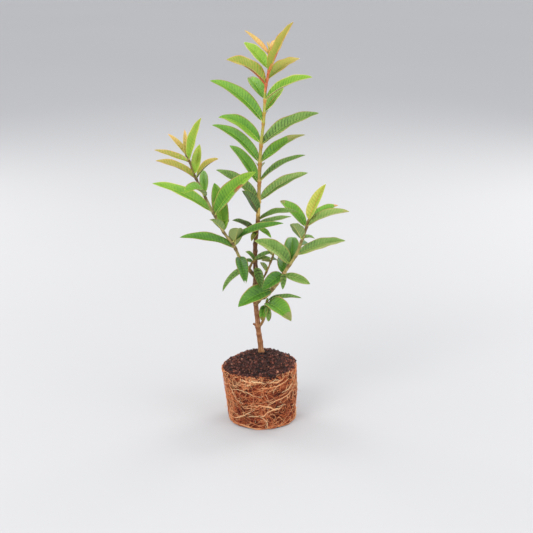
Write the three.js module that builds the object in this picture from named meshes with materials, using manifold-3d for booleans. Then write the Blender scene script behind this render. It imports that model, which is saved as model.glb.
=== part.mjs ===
// A young guava tree standing on its bare root ball, as slipped out of a nursery pot.
// Millimetres, +Z up, front towards -Y, right towards +X.
// The origin is the centre of the root ball's flat underside.

import * as THREE from "three";
import Module from "manifold-3d";

const wasm = await Module();
wasm.setup();

// ---------------------------------------------------------------- driving sizes

const GAP = 0.3; // clearance between neighbouring solids

const BALL_HEIGHT = 80;
const BALL_RIM_RADIUS = 50;
const BALL_FOOT_RADIUS = 45;
const BALL_LEAN = -3.3; // the rim's centre lies this far along X from the underside's
const BALL_EDGE = 2; // rounding of the bottom edge
const BALL_SLANT = 5; // the rim is this much lower on the left than on the right
const BALL_SIDES = 40;
const BALL_ROWS = 8;
const RIM_WIDTH = 3.5; // wall of matted roots round the loose soil
const RIM_DEPTH = 5;

// The matted surface swells in and out in waves: depth, count round the ball, twist by height, start.
const LUMPS = [
  { depth: 0.7, count: 3, twist: 0.06, start: 0 },
  { depth: 0.5, count: 7, twist: -0.11, start: 1 },
  { depth: 0.4, count: 11, twist: 0.17, start: 2 },
];

const SOIL_TOP = 88; // the soil is heaped round the trunk
const SOIL_RINGS = 5;
const SOIL_FALL = 1.7; // exponent of the heap's slope: level at the trunk, steeper at the rim
const SOIL_LUMPS = 0.5; // of the lumps that the matted surface has
const SEAT_RADIUS = 9; // level patch that the trunk stands on

const LIMB_SIDES = 8;
const TRUNK_SIDES = 12;
const LIMB_STEP = 11; // distance between a limb's cross-sections

const BLADE_THICKNESS = 1;
const BLADE_FOLD = THREE.MathUtils.degToRad(34); // each half rises from the midrib
const BLADE_ARCH = 30; // degrees that a leaf bends down from its foot to its tip
const BLADE_STATIONS = [0.04, 0.16, 0.32, 0.5, 0.7, 0.87]; // along the blade
const FOOT_ROUNDNESS = 0.55; // exponents of the blade's outline
const TIP_ROUNDNESS = 0.8;
const STALK_SHARE = 0.045; // of the leaf's length
const STALK_RADIUS = 1.1;
const SMALL_STALK = 1 / 40; // radius of a small leaf's stalk, of the leaf's length
const LIGHT_TILT = 36; // blades turn their upper face to a light this far forward of the zenith

// ---------------------------------------------------------------- the shoots

// Leaves on the far side of the crown lie level, below the line of the ones beside them.
const FAR_SIDE = { width: 15, arch: 20 };

/** A leaf on a shoot: distance up the shoot, heading from +X towards +Y, slope, length. */
const leaf = (at, heading, rise, length, more = {}) => ({ at, heading, rise, length, ...more });

const LEADER = {
  wood: "trunk",
  springsFrom: [],
  sides: TRUNK_SIDES,
  route: [
    [-1, 17, SOIL_TOP + GAP],
    [-3, 16, 106],
    [-5, 15, 122],
    [-6.5, 14, 139],
    [-8, 13, 153],
    [-9.5, 11, 185],
    [-8.5, 10, 199],
    [-9, 9, 220],
    [-9, 8, 240],
    [-7.5, 7, 258],
    [-5.5, 6, 277],
    [-4, 5, 312],
    [-3, 4, 341],
    [-1.5, 3, 374],
    [2.5, 2, 412],
    [4.5, 0, 448],
    [8, -1, 471],
    [10, -2, 488],
    [8.5, -3, 507],
  ],
  girth: [
    [0, 5.4], [6, 4.4], [16, 3.9], [85, 3.7], [130, 3.3],
    [160, 3], [225, 2.6], [310, 2.2], [370, 1.8], [421, 0.8],
  ],
  woodTo: 160,
  masses: [
    ["leader_low_leaves", 255],
    ["leader_middle_leaves", 312],
    ["leader_upper_leaves", 360],
    ["leader_tip_leaves", 420],
  ],
  leaves: [
    leaf(178, 305, -10, 34, { width: 15 }),
    leaf(172, 250, -20, 20, { width: 9 }),
    leaf(169, 222, 33, 50, { width: 11, arch: 30 }),
    leaf(184, 43, 0, 62, { width: 11 }),
    leaf(190, 325, 17, 68, { width: 13 }),
    leaf(197, 238, 46, 56, { width: 18, tilt: -40 }),
    leaf(208, 95, -14, 62, FAR_SIDE),
    leaf(215, 32, 21, 84, { width: 18 }),
    leaf(217, 140, 22, 82, { width: 18 }),
    leaf(242, 335, 32, 78, { width: 13 }),
    leaf(243, 125, 27, 80, { width: 18, arch: 22 }),
    leaf(262, 90, -14, 66, FAR_SIDE),
    leaf(267, 35, 22, 80, { width: 19 }),
    leaf(274, 147, 25, 86, { width: 19 }),
    leaf(290, 10, 28, 88, { width: 22, arch: 36 }),
    leaf(298, 138, 15, 82, { width: 20, arch: 40, tilt: 52 }),
    leaf(323, 152, 30, 94, { width: 22, arch: 38 }),
    leaf(332, 92, -14, 60, FAR_SIDE),
    leaf(334, 62, 24, 60, { width: 17, arch: 20 }),
    leaf(350, 326, 26, 81, { width: 21 }),
    leaf(351, 114, 22, 58, { width: 21, arch: 20 }),
    leaf(370, 215, 31, 72, { width: 26, arch: 40 }),
    leaf(377, 40, 22, 60, { width: 18 }),
    leaf(384, 312, 56, 84, { width: 20, arch: 12 }),
    leaf(390, 133, 33, 56, { width: 19, arch: 20 }),
    leaf(409, 175, 44, 44, { width: 9, arch: 10 }),
    leaf(414, 60, 23, 32, { width: 8 }),
  ],
};

const RIGHT_SHOOT = {
  wood: "right_bough",
  springsFrom: [LEADER],
  sides: LIMB_SIDES,
  route: [
    [-9, 12, 158],
    [-1.5, 8, 168],
    [5, 6, 172],
    [20.5, 0, 192],
    [27, -4, 203],
    [33, -8, 214],
    [45.5, -14, 236],
    [51.5, -17, 253],
    [56.5, -19, 268],
    [61.5, -20, 286],
  ],
  girth: [[0, 3.4], [47, 2.7], [100, 2.2], [152, 1.7]],
  woodTo: 47,
  masses: [
    ["right_low_leaves", 95],
    ["right_middle_leaves", 133],
    ["right_tip_leaves", 152],
  ],
  leaves: [
    leaf(57, 226, -15, 82, { width: 22, arch: 8 }),
    leaf(60, 140, -20, 38, { width: 21 }),
    leaf(63, 86, 24, 40, { width: 18 }),
    leaf(63, 22, -24, 43, { width: 14, arch: 14, tilt: 62 }),
    leaf(66, 262, -50, 24, { width: 10 }),
    leaf(81, 207, 37, 66, { width: 25, arch: 36, tilt: 46 }),
    leaf(83, 85, 28, 52, { width: 25 }),
    leaf(97, 33, 6, 82, { width: 18, arch: 26, tilt: 50 }),
    leaf(112, 72, -14, 56, FAR_SIDE),
    leaf(121, 240, 44, 41, { width: 19, arch: 20, tilt: -40 }),
    leaf(124, 46, -12, 24, { width: 8 }),
    leaf(139, 124, 22, 66, { width: 19 }),
    leaf(141, 330, 24, 68, { width: 18 }),
    leaf(146, 45, 13, 61, { width: 15 }),
    leaf(149, 328, 64, 58, { width: 18, arch: 12 }),
  ],
};

const LEFT_SHOOT = {
  wood: "left_bough",
  springsFrom: [LEADER],
  sides: LIMB_SIDES,
  route: [
    [-9.5, 10, 198],
    [-21, 3, 215],
    [-30, -3, 229],
    [-36, -7, 244],
    [-50, -15, 266],
    [-62, -20, 291],
    [-74, -24, 317],
    [-83, -26, 337],
    [-89, -27, 350],
    [-92, -28, 362],
    [-98, -28, 374],
  ],
  girth: [[0, 2.9], [36, 2.4], [85, 2], [140, 1.8], [180, 1.5], [203, 1]],
  woodTo: 36,
  masses: [
    ["left_low_leaves", 78],
    ["left_middle_leaves", 126],
    ["left_upper_leaves", 184],
    ["left_tip_leaves", 202],
  ],
  leaves: [
    leaf(40, 279, -25, 54, { width: 19 }),
    leaf(64, 340, 24, 80, { width: 15 }),
    leaf(56, 282, 50, 42, { width: 23, tilt: -40 }),
    leaf(57, 205, 16, 80, { width: 15 }),
    leaf(84, 229, 39, 34, { width: 15, tilt: -40 }),
    leaf(82, 105, 45, 78, { width: 25, arch: 10 }),
    leaf(98, 80, -14, 60, FAR_SIDE),
    leaf(110, 331, 46, 90, { width: 26, arch: 28, tilt: 48 }),
    leaf(114, 153, 18, 98, { width: 19 }),
    leaf(115, 62, 14, 54, { width: 16 }),
    leaf(141, 94, 25, 54, { width: 14 }),
    leaf(138, 232, 17, 48, { width: 20, arch: 80 }),
    leaf(166, 316, 37, 53, { width: 15 }),
    leaf(171, 72, 60, 42, { width: 15, arch: 8 }),
    leaf(166, 210, 27, 64, { width: 16, arch: 24 }),
    leaf(189, 150, 11, 56, { width: 11, arch: 8 }),
    leaf(192, 306, 63, 66, { width: 18, arch: 12 }),
    leaf(199, 172, 49, 36, { width: 9, arch: 20 }),
    leaf(200, 107, 80, 32, { width: 8, arch: 10 }),
  ],
};

const LOW_TWIG = {
  springsFrom: [LEADER],
  sides: LIMB_SIDES,
  route: [
    [-6, 14, 124],
    [-1, 11, 131],
    [3, 6, 142],
    [5, 0, 158],
    [7, -3, 170],
  ],
  girth: [[0, 2.2], [52, 1.6]],
  woodTo: 0,
  masses: [["low_twig_leaves", 51]],
  leaves: [
    leaf(50, 340, 10, 50, { width: 9 }),
    leaf(46, 302, -8, 62, { width: 30 }),
    leaf(43, 235, -62, 22, { width: 14 }),
    leaf(40, 300, -65, 20, { width: 11 }),
    leaf(47, 285, -70, 26, { width: 10 }),
  ],
};

const THIN_TWIG = {
  springsFrom: [LEADER],
  sides: LIMB_SIDES,
  route: [
    [-10, 11, 184],
    [1, 7, 196],
    [6, 5, 206],
    [10, 3, 216],
    [16, 1, 233],
  ],
  girth: [[0, 1.6], [60, 1.1]],
  woodTo: 0,
  masses: [["thin_twig_leaves", 56]],
  leaves: [
    leaf(28, 225, 53, 20, { width: 9, tilt: -40 }),
    leaf(44, 195, 12, 13, { width: 9 }),
    leaf(46, 65, -14, 20, { width: 10 }),
    leaf(53, 110, 17, 18, { width: 10 }),
  ],
};

const MIDDLE_TWIG = {
  springsFrom: [LEADER, LEFT_SHOOT],
  sides: LIMB_SIDES,
  route: [
    [-16, 6, 207],
    [-16.5, 0, 212],
    [-14, -2, 219],
    [-8, -2, 227],
  ],
  girth: [[0, 1.6], [24, 1.2]],
  woodTo: 0,
  masses: [["middle_twig_leaves", 24]],
  leaves: [
    leaf(10, 198, -38, 50, { width: 11, arch: 56 }),
    leaf(14, 300, -70, 32, { width: 14, arch: 20 }),
    leaf(19, 200, 10, 13, { width: 8 }),
    leaf(21, 225, 45, 22, { width: 11 }),
    leaf(21, 345, 26, 34, { width: 9 }),
    leaf(22, 350, 8, 24, { width: 8 }),
  ],
};

// A twig that was broken off low on the trunk.
const STUB = { at: 38, heading: 195, rise: 35, length: 8, radius: 1.6 };

const BARK = new THREE.MeshStandardMaterial({ color: 0x8a5a3c, roughness: 0.85, metalness: 0 });
const ROOTS = new THREE.MeshStandardMaterial({ color: 0xb8703f, roughness: 0.95, metalness: 0 });
const SOIL = new THREE.MeshStandardMaterial({ color: 0x33221f, roughness: 1, metalness: 0 });
const GREEN_LEAF = new THREE.MeshStandardMaterial({ color: 0x4f9a36, roughness: 0.5, metalness: 0 });
const YOUNG_LEAF = new THREE.MeshStandardMaterial({ color: 0xb3b848, roughness: 0.5, metalness: 0 });

// ---------------------------------------------------------------- closed surfaces

/** A closed surface through rings of equal count, wound anticlockwise round the way they run. */
function loft(rings, tip = null) {
  const count = rings[0].length;
  const points = rings.flat();
  const foot = points.push(middle(rings[0])) - 1;
  const head = points.push(tip ?? middle(rings.at(-1))) - 1;
  const faces = [];
  const last = (rings.length - 1) * count;
  for (let i = 0; i < count; i++) {
    const next = (i + 1) % count;
    faces.push(foot, next, i);
    faces.push(head, last + i, last + next);
    for (let row = 0; row < last; row += count) {
      faces.push(row + i, row + next, row + count + next);
      faces.push(row + i, row + count + next, row + count + i);
    }
  }
  const geometry = new THREE.BufferGeometry().setFromPoints(points);
  geometry.setIndex(faces);
  return geometry;
}

function middle(ring) {
  const sum = new THREE.Vector3();
  for (const point of ring) sum.add(point);
  return sum.divideScalar(ring.length);
}

function toSolid(geometry) {
  const vertProperties = new Float32Array(geometry.attributes.position.array);
  const triVerts = new Uint32Array(geometry.index.array);
  return new wasm.Manifold(new wasm.Mesh({ numProp: 3, vertProperties, triVerts }));
}

/** The largest closed body of a joined solid: a sealed hollow in it is filled, a scrap is dropped. */
function toGeometry(solid) {
  const bodies = solid.decompose();
  const body = bodies.reduce((a, b) => (a.volume() > b.volume() ? a : b));
  const mesh = body.getMesh();
  const geometry = new THREE.BufferGeometry();
  geometry.setAttribute("position", new THREE.BufferAttribute(mesh.vertProperties, 3));
  geometry.setIndex(new THREE.BufferAttribute(mesh.triVerts, 1));
  return geometry;
}

// ---------------------------------------------------------------- limbs

function curveOf(shoot) {
  shoot.curve ??= new THREE.CatmullRomCurve3(shoot.route.map((p) => new THREE.Vector3(...p)));
  return shoot.curve;
}

function pointAt(shoot, distance) {
  const curve = curveOf(shoot);
  return curve.getPointAt(Math.min(1, distance / curve.getLength()));
}

function radiusAt(shoot, distance) {
  const above = shoot.girth.findIndex(([at]) => at >= distance);
  if (above < 1) return shoot.girth.at(above)[1];
  const [from, thick] = shoot.girth[above - 1];
  const [to, thin] = shoot.girth[above];
  return THREE.MathUtils.mapLinear(distance, from, to, thick, thin);
}

/** Cross-sections of a shoot between two distances along it, with extra added to its radius. */
function limbRings(shoot, from, to, extra = 0) {
  const curve = curveOf(shoot);
  const steps = Math.max(2, Math.round((to - from) / LIMB_STEP));
  const rings = [];
  for (let i = 0; i <= steps; i++) {
    const distance = THREE.MathUtils.lerp(from, to, i / steps);
    const along = curve.getTangentAt(Math.min(1, distance / curve.getLength()));
    const side = new THREE.Vector3(1, 0, 0).projectOnPlane(along).normalize();
    const front = along.clone().cross(side);
    const centre = pointAt(shoot, distance);
    const radius = radiusAt(shoot, distance) + extra;
    rings.push(circle(shoot.sides, (cos, sin) => centre.clone()
      .addScaledVector(side, cos * radius)
      .addScaledVector(front, sin * radius)));
  }
  return rings;
}

const limb = (...stretch) => toSolid(loft(limbRings(...stretch)));

function circle(sides, place) {
  return Array.from({ length: sides }, (_, i) => {
    const angle = (i * 2 * Math.PI) / sides;
    return place(Math.cos(angle), Math.sin(angle), angle);
  });
}

// ---------------------------------------------------------------- leaves

/** A direction with the given heading and slope, in degrees. */
function direction(heading, rise) {
  const polar = THREE.MathUtils.degToRad(90 - rise);
  const turn = THREE.MathUtils.degToRad(heading);
  return new THREE.Vector3(
    Math.sin(polar) * Math.cos(turn),
    Math.sin(polar) * Math.sin(turn),
    Math.cos(polar),
  );
}

/** Half the blade's width as a share of its greatest, at a share of the blade's length. */
function outline(share) {
  const shape = (s) => s ** FOOT_ROUNDNESS * (1 - s) ** TIP_ROUNDNESS;
  return shape(share) / shape(FOOT_ROUNDNESS / (FOOT_ROUNDNESS + TIP_ROUNDNESS));
}

/** One leaf: a slim stalk, then a folded blade that arches down to its point. */
function blade(root, { heading, rise, length, width, arch = BLADE_ARCH, tilt = LIGHT_TILT }) {
  const chord = direction(heading, rise);
  const upper = direction(270, 90 - tilt).projectOnPlane(chord).normalize();
  const centre = root.clone();
  const slope = (share) => rise + arch * (0.5 - share);
  const rings = [];
  const section = (share, half, thick) => {
    const along = direction(heading, slope(share));
    const side = along.clone().cross(upper).normalize();
    const face = side.clone().cross(along);
    const lift = half * Math.sin(BLADE_FOLD);
    const spread = half * Math.cos(BLADE_FOLD);
    const at = (across, up) => centre.clone().addScaledVector(side, across).addScaledVector(face, up);
    rings.push([at(-spread, lift), at(0, thick / 2), at(spread, lift), at(0, -thick / 2)]);
  };
  let done = 0;
  const goTo = (share) => {
    centre.addScaledVector(direction(heading, slope((done + share) / 2)), (share - done) * length);
    done = share;
  };
  const stalk = Math.min(STALK_RADIUS, length * SMALL_STALK);
  section(0, stalk, 2 * stalk);
  goTo(STALK_SHARE);
  section(STALK_SHARE, stalk, 2 * stalk);
  for (const station of BLADE_STATIONS) {
    const share = STALK_SHARE + station * (1 - STALK_SHARE);
    goTo(share);
    section(share, Math.max(stalk, (width / 2) * outline(station)), BLADE_THICKNESS);
  }
  goTo(1);
  return toSolid(loft(rings, centre));
}

/** A stretch of a shoot with all the leaves that spring from it, joined into one solid. */
function leafMass(shoot, from, to) {
  const start = from > 0 ? from + GAP : 0;
  let solid = limb(shoot, start, to);
  for (const one of shoot.leaves) {
    if (one.at > from && one.at <= to) solid = solid.add(blade(pointAt(shoot, one.at), one));
  }
  return solid;
}

// ---------------------------------------------------------------- root ball and soil

/** How far the matted surface stands out at an angle round the ball and a height on it. */
function lump(angle, height) {
  const waves = LUMPS.map(({ depth, count, twist, start }) => (
    depth * Math.sin(count * angle + twist * height + start)
  ));
  return waves.reduce((sum, wave) => sum + wave);
}

function ballRing(radius, height, lumps = 1) {
  const share = height / BALL_HEIGHT;
  return circle(BALL_SIDES, (cos, sin, angle) => {
    const out = radius + lumps * lump(angle, height);
    const drop = (BALL_SLANT / 2) * (1 - cos) * share;
    return new THREE.Vector3(BALL_LEAN * share + out * cos, out * sin, height - drop);
  });
}

function rootBall() {
  const rings = [ballRing(BALL_FOOT_RADIUS - BALL_EDGE, 0)];
  for (let row = 0; row <= BALL_ROWS; row++) {
    const share = row / BALL_ROWS;
    const height = THREE.MathUtils.lerp(BALL_EDGE, BALL_HEIGHT, share);
    rings.push(ballRing(THREE.MathUtils.lerp(BALL_FOOT_RADIUS, BALL_RIM_RADIUS, share), height));
  }
  const inside = BALL_RIM_RADIUS - RIM_WIDTH;
  rings.push(ballRing(inside, BALL_HEIGHT, 0));
  rings.push(ballRing(inside, BALL_HEIGHT - RIM_DEPTH, 0));
  return loft(rings);
}

function topSoil() {
  const [footX, footY] = LEADER.route[0];
  const edge = BALL_RIM_RADIUS - RIM_WIDTH - GAP;
  const floor = BALL_HEIGHT - RIM_DEPTH + GAP;
  const wall = ballRing(edge, BALL_HEIGHT, 0);
  const seat = circle(BALL_SIDES, (cos, sin) => new THREE.Vector3(
    footX + SEAT_RADIUS * cos,
    footY + SEAT_RADIUS * sin,
    SOIL_TOP,
  ));
  const rings = [ballRing(edge, floor, 0), wall];
  for (let ring = SOIL_RINGS - 1; ring >= 1; ring--) {
    const share = ring / SOIL_RINGS;
    rings.push(seat.map((point, i) => {
      const between = point.clone().lerp(wall[i], share);
      const angle = (i * 2 * Math.PI) / BALL_SIDES;
      const height = THREE.MathUtils.lerp(SOIL_TOP, wall[i].z, share ** SOIL_FALL);
      between.z = height + SOIL_LUMPS * lump(angle, ring * BALL_HEIGHT);
      return between;
    }));
  }
  rings.push(seat);
  return loft(rings);
}

// ---------------------------------------------------------------- the whole plant

/** The trunk, cut level where it stands on the soil, with its broken twig. */
function trunk() {
  const rings = limbRings(LEADER, 0, LEADER.woodTo);
  for (const point of rings[0]) point.z = SOIL_TOP + GAP;
  const root = pointAt(LEADER, STUB.at);
  const end = direction(STUB.heading, STUB.rise).multiplyScalar(STUB.length).add(root);
  const stub = {
    sides: LIMB_SIDES,
    route: [root.toArray(), end.toArray()],
    girth: [[0, STUB.radius], [STUB.length, STUB.radius]],
  };
  return toSolid(loft(rings)).add(limb(stub, 0, STUB.length));
}

/** The solid cut clear of the wood that its shoot springs from. */
function cutClear(solid, shoot) {
  return shoot.springsFrom.reduce((rest, carrier) => (
    rest.subtract(limb(carrier, 0, carrier.woodTo, GAP))
  ), solid);
}

const plant = new THREE.Group();

function add(name, geometry, material) {
  const mesh = new THREE.Mesh(geometry, material);
  mesh.name = name;
  plant.add(mesh);
}

add("root_ball", rootBall(), ROOTS);
add("top_soil", topSoil(), SOIL);
add(LEADER.wood, toGeometry(trunk()), BARK);

for (const shoot of [RIGHT_SHOOT, LEFT_SHOOT]) {
  const bough = limb(shoot, 0, shoot.woodTo);
  add(shoot.wood, toGeometry(cutClear(bough, shoot)), BARK);
}

for (const shoot of [LEADER, RIGHT_SHOOT, LEFT_SHOOT, LOW_TWIG, THIN_TWIG, MIDDLE_TWIG]) {
  let from = shoot.woodTo;
  for (const [name, to] of shoot.masses) {
    const young = name.includes("tip") || name.includes("upper");
    const mass = cutClear(leafMass(shoot, from, to), shoot);
    add(name, toGeometry(mass), young ? YOUNG_LEAF : GREEN_LEAF);
    from = to;
  }
}

export default plant;
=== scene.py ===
import math
from collections import namedtuple

import bpy
import numpy as np
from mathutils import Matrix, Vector, noise


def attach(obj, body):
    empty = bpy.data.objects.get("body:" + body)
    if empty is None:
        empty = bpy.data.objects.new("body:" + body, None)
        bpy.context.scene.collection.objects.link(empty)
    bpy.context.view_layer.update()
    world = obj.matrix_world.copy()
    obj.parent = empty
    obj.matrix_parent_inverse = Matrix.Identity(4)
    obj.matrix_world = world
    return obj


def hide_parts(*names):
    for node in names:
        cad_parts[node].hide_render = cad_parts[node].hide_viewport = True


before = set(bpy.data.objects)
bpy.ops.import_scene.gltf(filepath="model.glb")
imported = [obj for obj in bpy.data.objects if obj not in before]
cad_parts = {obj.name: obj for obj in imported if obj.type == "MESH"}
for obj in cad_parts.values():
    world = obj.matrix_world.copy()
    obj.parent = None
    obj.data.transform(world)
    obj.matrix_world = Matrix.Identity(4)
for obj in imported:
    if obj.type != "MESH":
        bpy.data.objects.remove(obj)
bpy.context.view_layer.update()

MM = 0.001
SEED = 7204
rng = np.random.default_rng(SEED)

# ---------------------------------------------------------------- camera, light and floor

CAMERA_PLACE = (0.006, -1.7014, 0.7029)
CAMERA_TILT = 74.0  # degrees from straight down
CAMERA_LENS = 89.87
CAMERA_REACH = 60


def add_camera():
    data = bpy.data.cameras.new("camera")
    data.lens = CAMERA_LENS
    data.clip_end = CAMERA_REACH
    camera = bpy.data.objects.new("camera", data)
    camera.location = CAMERA_PLACE
    camera.rotation_euler = (math.radians(CAMERA_TILT), 0, 0)
    bpy.context.collection.objects.link(camera)
    bpy.context.scene.camera = camera


add_camera()

PLANT_MIDDLE = (0, 0, 0.27)

# Each lamp: name, place, size, watts and colour.
LAMPS = [
    ("key_light", (-1.1, -1.7, 1.9), 1.3, 40, (1.0, 0.985, 0.96)),
    ("fill_light", (1.9, -1.3, 1.0), 1.6, 20, (0.97, 0.985, 1.0)),
    ("right_back_light", (1.3, 1.4, 1.2), 1.0, 18, (1.0, 0.99, 0.97)),
    ("left_back_light", (-1.4, 1.3, 1.1), 1.0, 15, (1.0, 0.99, 0.97)),
]


def add_lamp(name, place, size, power, colour):
    """A square soft lamp, aimed at the plant's middle."""
    data = bpy.data.lights.new(name, "AREA")
    data.size = size
    data.energy = power
    data.color = colour
    lamp = bpy.data.objects.new(name, data)
    lamp.location = place
    lamp.rotation_euler = (Vector(PLANT_MIDDLE) - Vector(place)).to_track_quat("-Z", "Y").to_euler()
    bpy.context.collection.objects.link(lamp)


for lamp_values in LAMPS:
    add_lamp(*lamp_values)

SKY_COLOUR = (0.93, 0.94, 0.96, 1)
SKY_STRENGTH = 1.05


def light_sky():
    """Even soft light from all sides."""
    world = bpy.data.worlds.new("studio")
    world.use_nodes = True
    background = world.node_tree.nodes["Background"]
    background.inputs["Color"].default_value = SKY_COLOUR
    background.inputs["Strength"].default_value = SKY_STRENGTH
    bpy.context.scene.world = world
    bpy.context.scene.view_settings.view_transform = "Standard"


light_sky()

# ---------------------------------------------------------------- finishes


def linear(colour):
    """A colour as a screen shows it, 0 to 1, turned into the light that it sends back by the sRGB curve."""
    return tuple(c / 12.92 if c <= 0.04045 else ((c + 0.055) / 1.055) ** 2.4 for c in colour) + (1.0,)


class Socket:
    """A node's output. Python's operators on it add Math nodes."""

    def __init__(self, finish, output):
        self.finish = finish
        self.output = output

    def maths(self, operation, *others):
        return self.finish.node("ShaderNodeMath", {"operation": operation}, *others)[0]

    def __add__(self, other):
        return self.maths("ADD", self, other)

    __radd__ = __add__

    def __sub__(self, other):
        return self.maths("SUBTRACT", self, other)

    def __rsub__(self, other):
        return self.maths("SUBTRACT", other, self)

    def __mul__(self, other):
        return self.maths("MULTIPLY", self, other)

    __rmul__ = __mul__

    def __truediv__(self, other):
        return self.maths("DIVIDE", self, other)

    def __rtruediv__(self, other):
        return self.maths("DIVIDE", other, self)

    def above(self, level, softness):
        """0 below the level, 1 above it, with a soft step between."""
        step = (self - level) / softness + 0.5
        return self.maths("MINIMUM", self.maths("MAXIMUM", step, 0.0), 1.0)


class Node:
    """A node whose outputs are read by name or number."""

    def __init__(self, finish, node):
        self.finish = finish
        self.node = node

    def __getitem__(self, key):
        return Socket(self.finish, self.node.outputs[key])


# A Mix node has sockets for every type of value: these are its factor, its two colours and their mixture.
MIX_INPUTS = (0, 6, 7)
MIX_RESULT = 2


class Finish:
    """A material round one Principled shader."""

    def __init__(self, name, **constants):
        self.material = bpy.data.materials.new(name)
        self.material.use_nodes = True
        self.tree = self.material.node_tree
        self.shader = self.tree.nodes["Principled BSDF"]
        self.set(**constants)

    def set(self, **values):
        """Sets or links the shader's sockets. Base_Color stands for Base Color."""
        for key, value in values.items():
            self._give(self.shader.inputs[key.replace("_", " ")], value)

    def _give(self, socket, value):
        if isinstance(value, Socket):
            self.tree.links.new(value.output, socket)
        else:
            socket.default_value = value

    def node(self, kind, settings=None, *values, **named):
        """Adds a node: its type, its settings, then its sockets in order or by name."""
        node = self.tree.nodes.new(kind)
        for key, value in (settings or {}).items():
            if key == "stops":
                self._set_stops(node.color_ramp, value)
            else:
                setattr(node, key, value)
        for socket, value in zip(node.inputs, values):
            self._give(socket, value)
        for key, value in named.items():
            self._give(node.inputs[key.replace("_", " ")], value)
        return Node(self, node)

    def _set_stops(self, ramp, stops):
        ramp.elements.remove(ramp.elements[1])
        ramp.elements[0].position = stops[0][0]
        ramp.elements[0].color = linear(stops[0][1])
        for place, colour in stops[1:]:
            ramp.elements.new(place).color = linear(colour)

    def places(self, stretch=(1, 1, 1)):
        """Places on the object, stretched before a pattern reads them."""
        point = self.node("ShaderNodeTexCoord")["Object"]
        return self.node("ShaderNodeMapping", None, Vector=point, Scale=stretch)["Vector"]

    def noise(self, scale, detail=3.0, roughness=0.55, stretch=(1, 1, 1)):
        return self.node(
            "ShaderNodeTexNoise", None,
            Vector=self.places(stretch), Scale=scale, Detail=detail, Roughness=roughness,
        )["Fac"]

    def attribute(self, name):
        return self.node("ShaderNodeAttribute", {"attribute_name": name})["Fac"]

    def ramp(self, factor, stops):
        return self.node("ShaderNodeValToRGB", {"stops": stops}, Fac=factor)["Color"]

    def mix(self, factor, first, second):
        """From the first colour to the second as the factor goes from 0 to 1."""
        mixed = self.node("ShaderNodeMix", {"data_type": "RGBA"})
        for index, value in zip(MIX_INPUTS, (factor, first, second)):
            self._give(mixed.node.inputs[index], value)
        return mixed[MIX_RESULT]

    def bump(self, height, distance):
        bumped = self.node("ShaderNodeBump", None, Height=height, Distance=distance, Strength=1.0)
        self.set(Normal=bumped["Normal"])


def plain_finish(name, colour, grain_kind):
    """A plain colour, with a fine grain in its roughness and its relief."""
    gloss, scale, detail, spread, least, relief = grain_kind
    finish = Finish(name, Base_Color=linear(colour), Specular_IOR_Level=gloss)
    grain = finish.noise(scale, detail)
    finish.set(Roughness=grain * spread + least)
    finish.bump(grain, relief)
    return finish


def plain_finishes(name, colours, grain_kind):
    return [plain_finish(f"{name}_{step}", colour, grain_kind) for step, colour in enumerate(colours)]


# ---------------------------------------------------------------- meshes


class Shape:
    """Points in millimetres and faces, gathered from many small shapes, with a finish for each face."""

    def __init__(self):
        self.points = []
        self.faces = []
        self.tones = []
        self.count = 0

    def add(self, points, *groups):
        """Adds points, and groups of faces between them, each group with the numbers of its finishes."""
        for faces, tones in groups:
            self.faces.append(np.asarray(faces, int) + self.count)
            self.tones.append(np.broadcast_to(np.asarray(tones, int), len(faces)))
        self.points.append(np.asarray(points, float))
        self.count += len(points)

    def add_rings(self, rings, tones=0):
        """Adds a closed tube through rings of points, with one finish or one for each face of its side."""
        rows, sides = rings.shape[:2]
        faces = grid_faces(rows, sides, wrap=True)
        tones = np.broadcast_to(tones, len(faces))
        cap = np.arange(sides)
        self.add(
            rings.reshape(-1, 3),
            (faces, tones),
            ([cap[::-1]], tones[:1]),
            ([cap + (rows - 1) * sides], tones[-1:]),
        )

    def piece(self, name, finishes, replaced=(), attributes=None, smooth=True):
        """Makes the object, puts it on the root body and hides the solids that it stands for."""
        points = np.concatenate(self.points) * MM
        sizes = np.concatenate([np.full(len(faces), faces.shape[1]) for faces in self.faces])
        corners = np.concatenate([faces.ravel() for faces in self.faces])
        mesh = bpy.data.meshes.new(name)
        mesh.vertices.add(len(points))
        mesh.vertices.foreach_set("co", points.ravel())
        mesh.loops.add(len(corners))
        mesh.loops.foreach_set("vertex_index", corners)
        mesh.polygons.add(len(sizes))
        mesh.polygons.foreach_set("loop_start", np.concatenate([[0], np.cumsum(sizes)[:-1]]))
        mesh.polygons.foreach_set("loop_total", sizes)
        for finish in finishes:
            mesh.materials.append(finish.material)
        mesh.polygons.foreach_set("material_index", np.concatenate(self.tones))
        mesh.polygons.foreach_set("use_smooth", np.full(len(sizes), smooth))
        for key, values in (attributes or {}).items():
            mesh.attributes.new(key, "FLOAT", "POINT").data.foreach_set("value", values)
        mesh.update(calc_edges=True)
        mesh.validate()
        thing = bpy.data.objects.new(name, mesh)
        bpy.context.collection.objects.link(thing)
        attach(thing, "root")
        if replaced:
            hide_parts(*replaced)
        return thing


def grid_faces(rows, columns, wrap=False):
    """Quads over a grid of points. With wrap, the last column joins the first."""
    last = columns if wrap else columns - 1
    row, column = np.meshgrid(np.arange(rows - 1), np.arange(last), indexing="ij")
    after = (column + 1) % columns
    here = row * columns
    above = here + columns
    return np.stack([here + column, here + after, above + after, above + column], -1).reshape(-1, 4)


def unit(vectors):
    return vectors / np.linalg.norm(vectors, axis=-1, keepdims=True)


def direction(heading, rise):
    """A direction with the given heading and slope, in degrees."""
    turn = np.radians(heading)
    slope = np.radians(rise)
    parts = np.cos(slope) * np.cos(turn), np.cos(slope) * np.sin(turn), np.sin(slope)
    return np.stack(np.broadcast_arrays(*parts), -1)


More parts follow.
